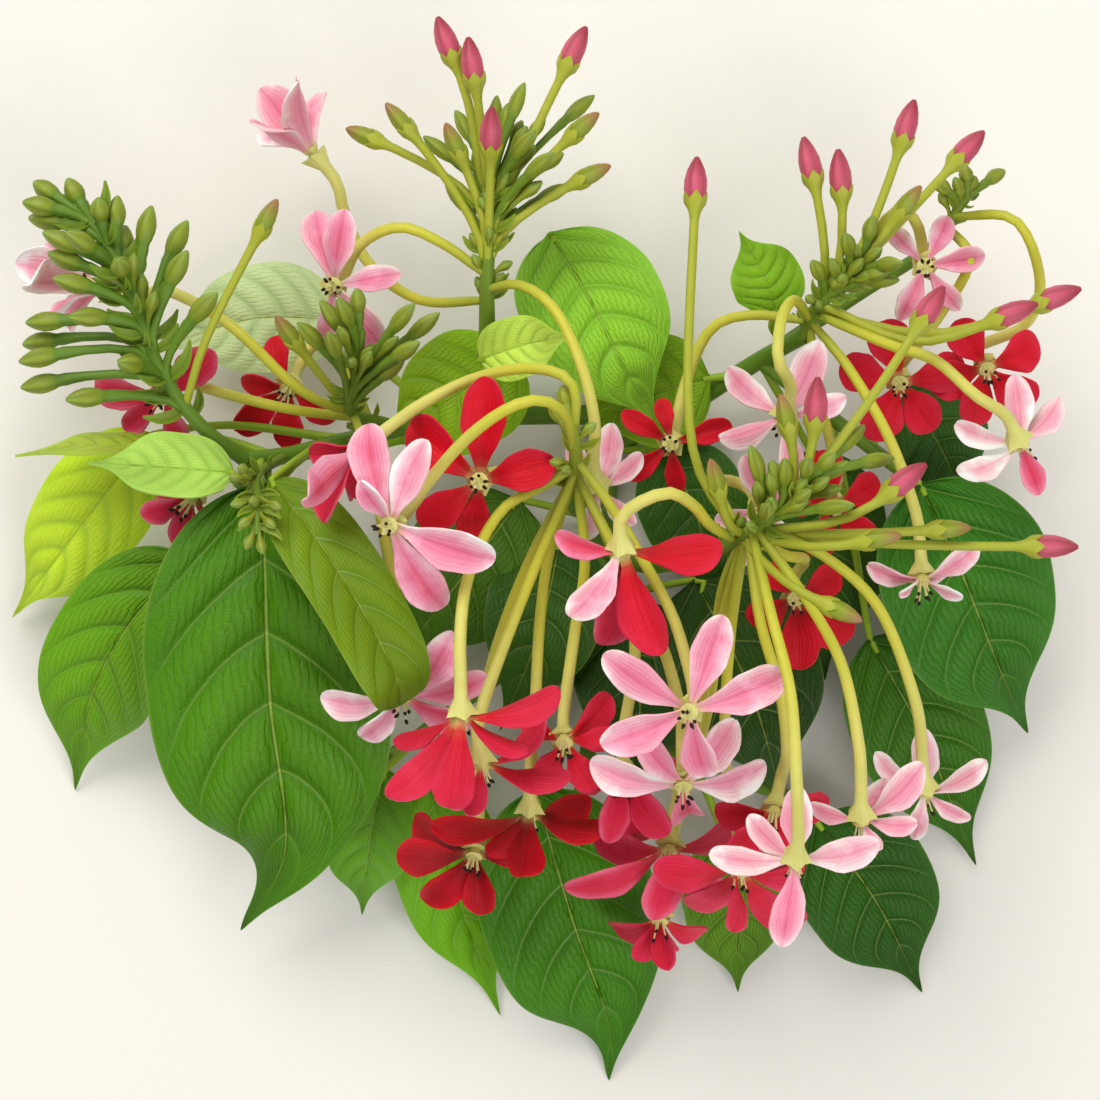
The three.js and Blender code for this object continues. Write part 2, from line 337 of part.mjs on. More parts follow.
// A closed geometry as a manifold-3d solid.
function solidOf(geometry) {
  const bare = new THREE.BufferGeometry();
  bare.setAttribute("position", geometry.getAttribute("position"));
  bare.setIndex(geometry.index);
  const merged = mergeVertices(bare, MERGE_DISTANCE);
  const corners = merged.index.array;
  const triVerts = [];
  for (let i = 0; i < corners.length; i += 3) {
    const [a, b, c] = [corners[i], corners[i + 1], corners[i + 2]];
    if (a !== b && b !== c && c !== a) triVerts.push(a, b, c);
  }
  const mesh = new wasm.Mesh({
    numProp: 3,
    vertProperties: merged.attributes.position.array,
    triVerts: Uint32Array.from(triVerts),
  });
  return new wasm.Manifold(mesh);
}

function fused(solids) {
  return solids.reduce((whole, piece) => whole.add(piece));
}

// A turned profile of [share of the curve's length, radius] pairs, carried along the curve.
// Its outline starts and ends on the axis. On a level curve a corner lies level with the axis.
function turned(curve, profile, sides) {
  const outline = [[profile[0][0], 0], ...profile];
  if (profile.at(-1)[1] > 0) outline.push([profile.at(-1)[0], 0]);
  const lathe = new THREE.LatheGeometry(outline.map(([s, r]) => new THREE.Vector2(r, s)), sides);
  const frames = new Map();
  let tangent = curve.getTangentAt(profile[0][0]);
  let side = new THREE.Vector3(0, 0, 1).projectOnPlane(tangent).normalize();
  for (const [share] of profile) {
    const next = curve.getTangentAt(share);
    side = side.applyQuaternion(new THREE.Quaternion().setFromUnitVectors(tangent, next));
    tangent = next;
    const across = new THREE.Vector3().crossVectors(side, tangent);
    frames.set(Math.fround(share), { centre: curve.getPointAt(share), side: side.clone(), across });
  }
  const place = lathe.getAttribute("position");
  for (let i = 0; i < place.count; i += 1) {
    const { centre, side: sideways, across } = frames.get(place.getY(i));
    const point = centre.clone();
    point.addScaledVector(sideways, place.getX(i)).addScaledVector(across, place.getZ(i));
    place.setXYZ(i, point.x, point.y, point.z);
  }
  return solidOf(lathe);
}

// Shares of a curve's length, evenly spaced, with a radius that changes evenly.
function evenTaper(steps, startRadius, endRadius) {
  return Array.from({ length: steps + 1 }, (_, i) => {
    const share = i / steps;
    return [share, startRadius + (endRadius - startRadius) * share];
  });
}

// A thin blade. The same grid of cells makes its upper and its lower face, and a rim closes them.
// surface(u, v) gives the middle and the normal at u from -1 to 1 across and v from 0 to 1 along.
function blade(cellsAcross, cellsAlong, thickness, surface) {
  const plane = new THREE.PlaneGeometry(2, 1, cellsAcross, cellsAlong);
  const grid = plane.getAttribute("position");
  const upper = [];
  const lower = [];
  for (let i = 0; i < grid.count; i += 1) {
    const { middle, normal } = surface(grid.getX(i), grid.getY(i) + 0.5);
    upper.push(middle.clone().addScaledVector(normal, thickness / 2));
    lower.push(middle.clone().addScaledVector(normal, -thickness / 2));
  }
  const cells = Array.from(plane.index.array);
  const faces = [...cells];
  for (let i = 0; i < cells.length; i += 3) {
    faces.push(cells[i] + grid.count, cells[i + 2] + grid.count, cells[i + 1] + grid.count);
  }
  const columns = cellsAcross + 1;
  const rim = [];
  for (let i = 0; i < cellsAcross; i += 1) rim.push(i);
  for (let i = 0; i < cellsAlong; i += 1) rim.push(cellsAcross + i * columns);
  for (let i = cellsAcross; i > 0; i -= 1) rim.push(cellsAlong * columns + i);
  for (let i = cellsAlong; i > 0; i -= 1) rim.push(i * columns);
  rim.forEach((a, i) => {
    const b = rim[(i + 1) % rim.length];
    faces.push(a, b, b + grid.count, a, b + grid.count, a + grid.count);
  });
  const geometry = new THREE.BufferGeometry().setFromPoints([...upper, ...lower]);
  geometry.setIndex(faces);
  return solidOf(geometry);
}

// A leaf blade's half width at a share of its length: a round base, a broad middle and a long drip tip.
function leafOutline(share, shoulder) {
  const base = share < LEAF_BASE ? Math.sqrt(1 - (1 - share / LEAF_BASE) ** 2) : 1;
  const end = 1 / (1 + Math.exp((share - shoulder) / LEAF_SHOULDER_WIDTH));
  return Math.max(base * end, LEAF_TIP);
}

// A leaf blade along its midrib, its halves folded up by a few degrees.
function leafBlade(midrib, halfWidth, lookBase, lookTip, foldDegrees, cellsAlong, shoulder) {
  const rib = curveThrough(midrib.map(at));
  const fold = THREE.MathUtils.degToRad(foldDegrees);
  return blade(2, cellsAlong, LEAF_THICKNESS, (u, v) => {
    const tangent = rib.getTangentAt(v);
    const look = new THREE.Vector3(...lookBase).lerp(new THREE.Vector3(...lookTip), v);
    const normal = look.projectOnPlane(tangent).normalize();
    const side = new THREE.Vector3().crossVectors(tangent, normal);
    const reach = halfWidth * leafOutline(v, shoulder);
    const middle = rib.getPointAt(v);
    middle.addScaledVector(side, u * reach * Math.cos(fold));
    middle.addScaledVector(normal, Math.abs(u) * reach * Math.sin(fold));
    const tilted = normal.clone().multiplyScalar(Math.cos(fold));
    tilted.addScaledVector(side, -Math.sign(u) * Math.sin(fold));
    return { middle, normal: tilted };
  });
}

// A leaf: its stalk through the given points and a little way into the blade, and the blade.
function leaf(stalk, midrib, halfWidth, lookBase, lookTip, foldDegrees, cellsAlong, shoulder) {
  const foot = at(midrib[0]);
  const end = foot.clone().lerp(at(midrib[1]), PETIOLE_REACH);
  const stalkCurve = curveThrough([...stalk, foot, end]);
  return fused([
    turned(stalkCurve, evenTaper(3, PETIOLE_RADIUS, PETIOLE_RADIUS * PETIOLE_TAPER), PETIOLE_SIDES),
    leafBlade(midrib, halfWidth, lookBase, lookTip, foldDegrees, cellsAlong, shoulder),
  ]);
}

const shoots = new Map(SHOOTS.map(([name, points, startRadius, endRadius]) => {
  const curve = curveThrough(points.map(at));
  return [name, { curve, steps: points.length, startRadius, endRadius }];
}));

// The main stem has flats, and lies on one of them.
function shootSolid(name) {
  const { curve, steps, startRadius, endRadius } = shoots.get(name);
  const sides = name === MAIN_STEM ? MAIN_SIDES : SHOOT_SIDES;
  return turned(curve, evenTaper(steps, startRadius, endRadius), sides);
}

// Where a stalk of some radius starts that leaves a shoot toward a point: clear of the shoot's surface,
// or, at the shoot's end, just past it.
function startBeside([name, share], towards, stalkRadius) {
  const { curve, startRadius, endRadius } = shoots.get(name);
  const point = curve.getPointAt(share);
  const tangent = curve.getTangentAt(share);
  const way = towards.clone().sub(point).normalize();
  const lean = Math.abs(way.dot(tangent));
  if (share === 1) {
    return point.addScaledVector(way, (CLEARANCE + stalkRadius * Math.sqrt(1 - lean * lean)) / lean);
  }
  const radius = SEAT_SHARE * (startRadius + (endRadius - startRadius) * share);
  const clear = (radius + CLEARANCE + stalkRadius * lean) / Math.sqrt(1 - lean * lean);
  return point.addScaledVector(way, clear);
}

function innerLeaf([root, midrib, halfWidth, look]) {
  return leaf([at(root)], midrib, halfWidth, look, look, INNER_FOLD, INNER_LEAF_CELLS, LEAF_SHOULDER);
}

function outerLeaf([, , root, bends, midrib, halfWidth, lookBase, lookTip, fold, shoulder = LEAF_SHOULDER]) {
  const stalk = bends.map(at);
  const start = startBeside(root, stalk[0], PETIOLE_RADIUS);
  return leaf([start, ...stalk], midrib, halfWidth, lookBase, lookTip, fold, LEAF_CELLS, shoulder);
}

// Kinds of bud: radius of the stalk, then distances back from the tip with the radius there
const BUDS = {
  young: { stalk: 0.5, head: [[3.4, 0.6], [1.8, 1.2], [0, 0]] },
  green: { stalk: 0.8, head: [[8, 0.95], [3.5, 1.8], [0, 0]] },
  tall: { stalk: 1, head: [[11, 1.1], [5, 2.2], [0, 0]] },
  pink: { stalk: 1, head: [[13, 1.1], [9, 2.3], [4, 2.3], [0, 0]] },
};

// Where a stalk leaves a spike's axis toward a point: inside the axis, on the side of that point.
function rootOn({ curve, steps, radius }, share, towards) {
  const cell = Math.floor(share * steps);
  const foot = curve.getPointAt(cell / steps);
  const point = foot.lerp(curve.getPointAt((cell + 1) / steps), share * steps - cell);
  const out = towards.clone().sub(point).projectOnPlane(curve.getTangentAt(share)).normalize();
  return point.addScaledVector(out, radius * ROOT_INSET);
}

// A bud on its stalk. It leaves the axis along the axis and bends out to its tip.
function bud(axis, [share, tip, kind, pass]) {
  const end = at(tip);
  const start = rootOn(axis, share, end);
  const { stalk, head } = BUDS[kind];
  const lift = start.distanceTo(end) * BUD_LIFT;
  const bend = start.clone().addScaledVector(axis.curve.getTangentAt(share), lift);
  const curve = pass
    ? curveThrough([start, at(pass), end])
    : new THREE.QuadraticBezierCurve3(start, bend, end);
  const length = curve.getLength();
  const shrink = Math.min(1, (BUD_SHARE * length) / head[0][0]);
  const neck = 1 - (shrink * head[0][0]) / length;
  const stalkSteps = Math.max(1, Math.round((neck * length) / LENGTH_PER_STEP));
  const profile = [];
  for (let i = 0; i < stalkSteps; i += 1) profile.push([(neck * i) / stalkSteps, stalk]);
  for (const [back, radius] of head) profile.push([1 - (shrink * back) / length, radius]);
  return turned(curve, profile, BUD_SIDES);
}

// A bloom's tube, from the spike's axis to the back of the bloom, where it widens into the calyx.
function floralTube(axis, [, , centre, look, , , share, passes]) {
  const end = at(centre);
  const lead = end.clone().addScaledVector(new THREE.Vector3(...look).normalize(), -TUBE_LEAD);
  const bends = passes.map(at);
  const curve = curveThrough([rootOn(axis, share, bends[0]), ...bends, lead, end]);
  const steps = Math.max(4, Math.round(curve.getLength() / LENGTH_PER_STEP));
  const profile = [];
  for (let i = 0; i < steps; i += 1) {
    profile.push([(i / steps) * CALYX_START, TUBE_RADIUS * (1 + TUBE_SWELL * (i / steps - 0.5))]);
  }
  profile.push([1, CALYX_RADIUS]);
  return turned(curve, profile, TUBE_SIDES);
}

// One petal from its foot to its tip. Toward the tip its flat turns to the eye.
function petal(foot, tip, facing) {
  const along = tip.clone().sub(foot);
  const length = along.length();
  const width = Math.min(PETAL_WIDTH, length * PETAL_SLENDERNESS);
  along.normalize();
  const look = facing.clone().projectOnPlane(along).normalize();
  const eyeward = new THREE.Vector3(0, 0, facing.z < 0 ? -1 : 1).projectOnPlane(along);
  const cells = PETAL_STATIONS.length - 1;
  return blade(1, cells, PETAL_THICKNESS, (u, row) => {
    const [v, share] = PETAL_STATIONS[Math.round(row * cells)];
    const flat = look.clone().addScaledVector(eyeward, PETAL_TURN * v).normalize();
    const side = new THREE.Vector3().crossVectors(along, flat);
    const middle = foot.clone().addScaledVector(along, v * length);
    middle.addScaledVector(look, PETAL_BOW * v * (1 - v) * length);
    middle.addScaledVector(side, u * width * share);
    const slope = along.clone().addScaledVector(flat, PETAL_BOW * (1 - 2 * v)).normalize();
    return { middle, normal: new THREE.Vector3().crossVectors(side, slope) };
  });
}

// The petal tips of a bloom. Petals that would stand closer than PETAL_SPREAD move apart in height.
function petalTips([, , centre, , tips]) {
  const heart = at(centre);
  const rises = tips.map(([, , rise]) => rise);
  const tip = (i) => at([tips[i][0], tips[i][1], centre[2] + rises[i]]);
  for (let round = 0; round < SPREAD_ROUNDS; round += 1) {
    for (let i = 0; i < tips.length; i += 1) {
      for (let j = i + 1; j < tips.length; j += 1) {
        if (tip(i).sub(heart).angleTo(tip(j).sub(heart)) < PETAL_SPREAD) {
          const push = rises[i] < rises[j] ? -SPREAD_STEP : SPREAD_STEP;
          rises[i] += push;
          rises[j] -= push;
        }
      }
    }
  }
  return tips.map((_, i) => tip(i));
}

// A bloom: a short throat, with its petals rooted a little off the axis.
function bloomSolid(row) {
  const heart = at(row[2]);
  const facing = new THREE.Vector3(...row[3]).normalize();
  const start = heart.clone().addScaledVector(facing, CLEARANCE);
  const end = heart.clone().addScaledVector(facing, CLEARANCE + THROAT_LENGTH);
  const throat = evenTaper(1, THROAT_RADIUS, THROAT_RADIUS);
  const pieces = [turned(new THREE.LineCurve3(start, end), throat, THROAT_SIDES)];
  const middle = start.clone().lerp(end, 0.5);
  for (const tip of petalTips(row)) {
    const out = tip.clone().sub(middle).projectOnPlane(facing).normalize();
    pieces.push(petal(middle.clone().addScaledVector(out, PETAL_INSET), tip, facing));
  }
  return fused(pieces);
}

// Triangles without those that have shrunk to a line and without pairs that lie back to back.
function openTriangles(triangles) {
  const kept = new Map();
  for (const corners of triangles) {
    if (new Set(corners).size < 3) continue;
    const key = corners.toSorted((a, b) => a - b).join();
    if (kept.has(key)) kept.delete(key);
    else kept.set(key, corners);
  }
  return [...kept.values()];
}

// A solid as a geometry in which the ends of every short edge have become one corner.
function weldedGeometry(solid) {
  const { numProp, vertProperties, triVerts } = solid.getMesh();
  const place = (i) => new THREE.Vector3().fromArray(vertProperties, i * numProp);
  const merged = Array.from({ length: vertProperties.length / numProp }, (_, i) => i);
  const corner = (i) => (merged[i] === i ? i : corner(merged[i]));
  const triangles = [];
  for (let i = 0; i < triVerts.length; i += 3) triangles.push(Array.from(triVerts.slice(i, i + 3)));
  for (const triangle of triangles) {
    triangle.forEach((a, i) => {
      const b = triangle[(i + 1) % 3];
      if (place(a).distanceTo(place(b)) < SHORT_EDGE) merged[corner(a)] = corner(b);
    });
  }
  const left = openTriangles(triangles.map((triangle) => triangle.map(corner)));
  const geometry = new THREE.BufferGeometry();
  geometry.setFromPoints(merged.map((_, i) => place(i)));
  geometry.setIndex(left.flat());
  return geometry;
}

function node(name, colour, solid) {
  const geometry = weldedGeometry(solid);
  geometry.computeVertexNormals();
  const look = { color: COLOURS[colour], roughness: ROUGHNESS, metalness: 0 };
  const made = new THREE.Mesh(geometry, new THREE.MeshStandardMaterial(look));
  made.name = name;
  return made;
}

function spikeSolid([name, root, points, radius, buds]) {
  const further = points.map(at);
  const start = startBeside(root, further[0], radius);
  const axis = { curve: curveThrough([start, ...further]), steps: points.length, radius };
  const pieces = [turned(axis.curve, evenTaper(axis.steps, radius, radius * SPIKE_TAPER), SPIKE_SIDES)];
  for (const row of buds) pieces.push(bud(axis, row));
  for (const row of BLOOMS.filter((bloom) => bloom[5] === name)) pieces.push(floralTube(axis, row));
  return fused(pieces);
}

const spray = new THREE.Group();
const shootNames = SHOOTS.map(([name]) => name);
spray.add(node("vine", "vine", fused([...shootNames.map(shootSolid), ...INNER_LEAVES.map(innerLeaf)])));
for (const row of LEAVES) spray.add(node(row[0], row[1], outerLeaf(row)));
for (const row of SPIKES) spray.add(node(row[0], "spike", spikeSolid(row)));
for (const name of new Set(BLOOMS.map((row) => row[0]))) {
  const rows = BLOOMS.filter((row) => row[0] === name);
  spray.add(node(name, rows[0][1], fused(rows.map(bloomSolid))));
}

export default spray;
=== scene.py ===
"""A cut flowering spray of rangoon creeper: the leafy vine, its flower spikes and its blooms."""

import math
import random

import bmesh
import bpy
from bpy.props import FloatProperty, FloatVectorProperty, IntProperty, PointerProperty
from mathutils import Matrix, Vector


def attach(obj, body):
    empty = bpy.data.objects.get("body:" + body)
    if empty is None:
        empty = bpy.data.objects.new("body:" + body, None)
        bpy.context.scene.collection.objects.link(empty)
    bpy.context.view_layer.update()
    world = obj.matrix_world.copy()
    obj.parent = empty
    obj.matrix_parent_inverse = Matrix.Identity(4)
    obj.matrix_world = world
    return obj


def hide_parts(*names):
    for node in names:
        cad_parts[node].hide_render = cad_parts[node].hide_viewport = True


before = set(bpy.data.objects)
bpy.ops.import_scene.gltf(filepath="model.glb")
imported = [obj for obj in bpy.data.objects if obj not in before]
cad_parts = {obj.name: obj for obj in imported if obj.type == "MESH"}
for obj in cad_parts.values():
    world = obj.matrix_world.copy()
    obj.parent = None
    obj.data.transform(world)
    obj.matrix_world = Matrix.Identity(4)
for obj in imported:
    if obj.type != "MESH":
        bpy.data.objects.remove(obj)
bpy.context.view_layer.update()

bl_info = {
    "name": "Rangoon Creeper Spray",
    "version": (1, 0, 0),
    "blender": (4, 5, 0),
    "location": "View3D > Sidebar > Creeper",
    "description": "Builds a cut spray of rangoon creeper with its leaves, buds and blooms",
    "category": "Add Mesh",
}

# Lengths are millimetres here. Points are x, y and height, with x and y as seen from straight above.
MILLIMETRE = 0.001
FULL_TURN = 2 * math.pi
EYE_HEIGHT = 600  # height of the camera
SIGHT_HEIGHT = 50  # the height at which a point is seen in its real place
SHIFT = (4.8, 4.6)  # the place of the eye beside the middle of the spray
CLEARANCE = 0.3  # free space between a stalk and the shoot that carries it
SEAT_SHARE = 0.9  # share of a shoot's radius at which a stalk is seated
MAIN_HEIGHT = 3  # height of the main stem's middle
MAIN_RADIUS = MAIN_HEIGHT / math.cos(math.pi / 6)  # to the edges of its six flats, for the seats of stalks
LEAF_SHOULDER = 0.73  # share of a leaf's length at which its blade is down to half of its width
BLUNT_SHOULDER = 0.98  # the same for a leaf whose tip is curled under
VINE_SIDES = 12
INNER_SEED = 100  # seed of the random draws for the first hidden leaf
SPIKE_SEED = 7  # the same for all the spikes
BLOOM_SEED = 300  # the same for the first bloom

# Shoots of the vine: name, points, radius at the start and at the end
SHOOTS = [
  ["main", [[12, 62, MAIN_HEIGHT], [10, -12, MAIN_HEIGHT]], MAIN_RADIUS, MAIN_RADIUS],
  ["lower", [[10, -10, 3], [9, -30, 5], [6, -50, 10]], 2.4, 1.6],
  ["low_left", [[10, -12, 3], [-6, -22, 9], [-22, -34, 15], [-33, -42, 20]], 2, 1.4],
  ["low_right", [[9, -30, 5], [28, -42, 9], [50, -50, 14]], 2, 1.4],
  ["left", [[11.5, 27, 3], [-4, 27, 8], [-22, 26, 20], [-40, 22, 33], [-52, 19, 42], [-61, 18, 51]],
    2.2, 1.7],
  ["to_top", [[12, 46, 3], [4, 46, 14], [-6, 43, 30], [-12.6, 42, 43]], 2, 1.7],
  ["right", [[11.3, 20, 3], [26, 28, 9], [42, 38, 23], [51, 43, 41]], 2.2, 1.7],
  ["to_back", [[42, 38, 23], [60, 50, 27], [76, 60, 32]], 1.6, 1.3],
  ["side_right", [[42, 38, 23], [57, 26, 28], [70, 16, 35]], 1.6, 1.4],
  ["to_east", [[10.6, 0, 3], [20, -3, 22], [29, -1, 46], [34.6, 0.6, 62]], 2, 1.7],
  ["to_middle", [[10.8, 6, 3], [6, 8, 20], [4, 12, 45], [5, 14, 64]], 2, 1.7],
]

# Leaves hidden in the spray: root, points of the midrib, half width, where the upper face looks
INNER_LEAVES = [
  [[12, 46, 3], [[-6, 38, 20], [-20, 30, 24], [-34, 20, 18]], 13, [0.1, 0.2, 1]],
  [[37, 34.8, 18.6], [[32, 34.4, 18], [20, 31, 20], [6, 24, 22]], 12, [0, -0.2, 1]],
  [[10.8, 6, 3], [[-6, 10, 12], [-18, -6, 14], [-32, -24, 10]], 15, [0, 0.1, 1]],
  [[10.4, -2, 3], [[2, 2, 12], [-2, -16, 22], [-10, -36, 22]], 13, [-0.2, 0, 1]],
  [[10, -10, 3], [[14, -10, 12], [18, -30, 20], [15, -50, 18]], 14, [0.1, 0.1, 1]],
  [[10, -10, 3], [[29, -6, 14], [40, -28, 20], [47, -52, 16]], 17, [0.1, 0.1, 1]],
  [[42, 38, 23], [[52, 20, 14], [55, -2, 15], [55, -26, 11]], 14, [0, 0.1, 1]],
  [[11.3, 20, 3], [[22, 20, 9], [29, 8, 12], [33, -12, 9]], 12, [0, 0.1, 1]],
  [[64, 20.6, 31.5], [[69, 28, 25], [76, 24, 21], [84, 8, 15]], 12, [0.1, 0.1, 1]],
]

# Outer leaves: name, slot, shoot and share of its length, bends of the stalk, points of the midrib,
# half width, where the upper face looks at the base and at the tip, fold in degrees, and a shoulder
# that isn't the usual one
LEAVES = [
  ["leaf_front_large", "leaf", ["left", 0.95], [[-58.6, 15.5, 55]],
    [[-57.4, 13, 56], [-57, -4, 55], [-56, -30, 48], [-53, -60, 34], [-61.8, -76, 20]], 25,
    [0.1, 0.1, 1], [0, 0.2, 1], 6],
  ["leaf_front_curled", "light_leaf", ["left", 0.8], [[-52, 17, 57]],
    [[-56, 13.6, 64], [-48, 4, 70], [-37.6, -12, 74], [-31, -25, 72], [-30, -31, 66]], 8.5,
    [0.3, 0.2, 1], [0.3, 0.2, 1], 14, BLUNT_SHOULDER],
  ["leaf_left_small", "leaf", ["left", 0.96], [[-62.4, 13, 53]],
    [[-63.4, 15.4, 60], [-77, 16.5, 63], [-92.5, 17.5, 61]], 7.5, [0, 0.5, 1], [0, 0.4, 1], 20],
  ["leaf_left_light", "light_leaf", ["left", 0.7], [[-64, 25, 33]],
    [[-80, 23, 32], [-93.5, 5, 24], [-107.5, -13.4, 4]], 12, [0.2, 0.2, 1], [0.1, 0.3, 1], 8],
  ["leaf_left_low", "leaf", ["left", 0.82], [[-60, 8, 38]],
    [[-72, -2, 36], [-83.5, -14, 32], [-92, -30, 20], [-95, -48, 0.6]], 14, [0.1, 0.3, 1], [0.1, 0.3, 1], 8],
  ["leaf_left_edge", "light_leaf", ["left", 0.9], [[-66, 22, 44]],
    [[-76, 20, 44], [-92, 21, 44], [-107, 19, 38]], 6.5, [0, 1, 0.35], [0, 1, 0.5], 10],
  ["leaf_bottom_left", "leaf", ["low_left", 0.96], [[-29, -40, 26]],
    [[-33, -44, 31], [-36, -58, 27], [-37.6, -73, 11]], 9, [0, 0.2, 1], [0.2, 0.3, 1], 8],
  ["leaf_bottom_bright", "light_leaf", ["low_left", 0.6], [[-22, -38, 15]],
    [[-25, -44, 18], [-19.5, -66, 12], [-10, -93, 1]], 12, [0, 0.1, 1], [0.1, 0.3, 1], 8],
  ["leaf_bottom_large", "leaf", ["lower", 0.5], [[3, -40, 20]],
    [[-3, -48, 28], [4.5, -74, 22], [11.5, -94, 10], [11.8, -106, 0.6]], 19, [0, 0.1, 1], [0, 0.3, 1], 6],
  ["leaf_bottom_right", "leaf", ["low_right", 0.5], [[32, -50, 15]],
    [[34.6, -57, 18], [37, -74, 12], [37.6, -88.4, 2]], 11, [0, 0.1, 1], [0, 0.3, 1], 8],
  ["leaf_right_low", "leaf", ["low_right", 1], [[51.5, -52, 16.5]],
    [[53, -54, 19], [65, -70, 13], [74.4, -88.4, 0.6]], 15, [0, 0.1, 1], [0, 0.3, 1], 8],
  ["leaf_right_middle", "leaf", ["side_right", 0.5], [[60, 6, 22]],
    [[64, -18, 20], [75, -38, 13], [85.2, -63, 3]], 15, [0.1, 0.1, 1], [0, 0.3, 1], 8],
  ["leaf_right_large", "leaf", ["side_right", 1], [[72, 14.6, 37]],
    [[74, 13, 38], [82, -4, 35], [90, -24, 24], [95.6, -36.6, 12]], 19, [0.1, 0.1, 1], [0.1, 0.2, 1], 8],
  ["leaf_top_round", "leaf", ["main", 0.12], [[4, 62, 18]],
    [[0, 63, 28], [8, 50, 34], [15, 36, 34], [22, 24, 27]], 15, [0.1, 0.1, 1], [0.1, 0.1, 1], 6],
  ["leaf_top_pointed", "leaf", ["to_back", 0.15], [[44.4, 44.6, 28]],
    [[45.2, 47.4, 31], [43.8, 53, 33], [37.8, 63.8, 33]], 7.5, [0, -0.1, 1], [0, 0, 1], 6],
  ["leaf_top_middle", "light_leaf", ["to_top", 0.75], [[-11, 37, 41]],
    [[-14, 38, 46], [-5, 41, 50], [5, 43, 48]], 6.5, [0, -0.2, 1], [0, 0, 1], 12],
  ["leaf_top_pale", "pale_leaf", ["left", 0.42], [[-33, 36, 13]],
    [[-42, 46, 16], [-60, 46, 15], [-79, 40, 11]], 12, [0, 0, 1], [0, 0.2, 1], 6],
]

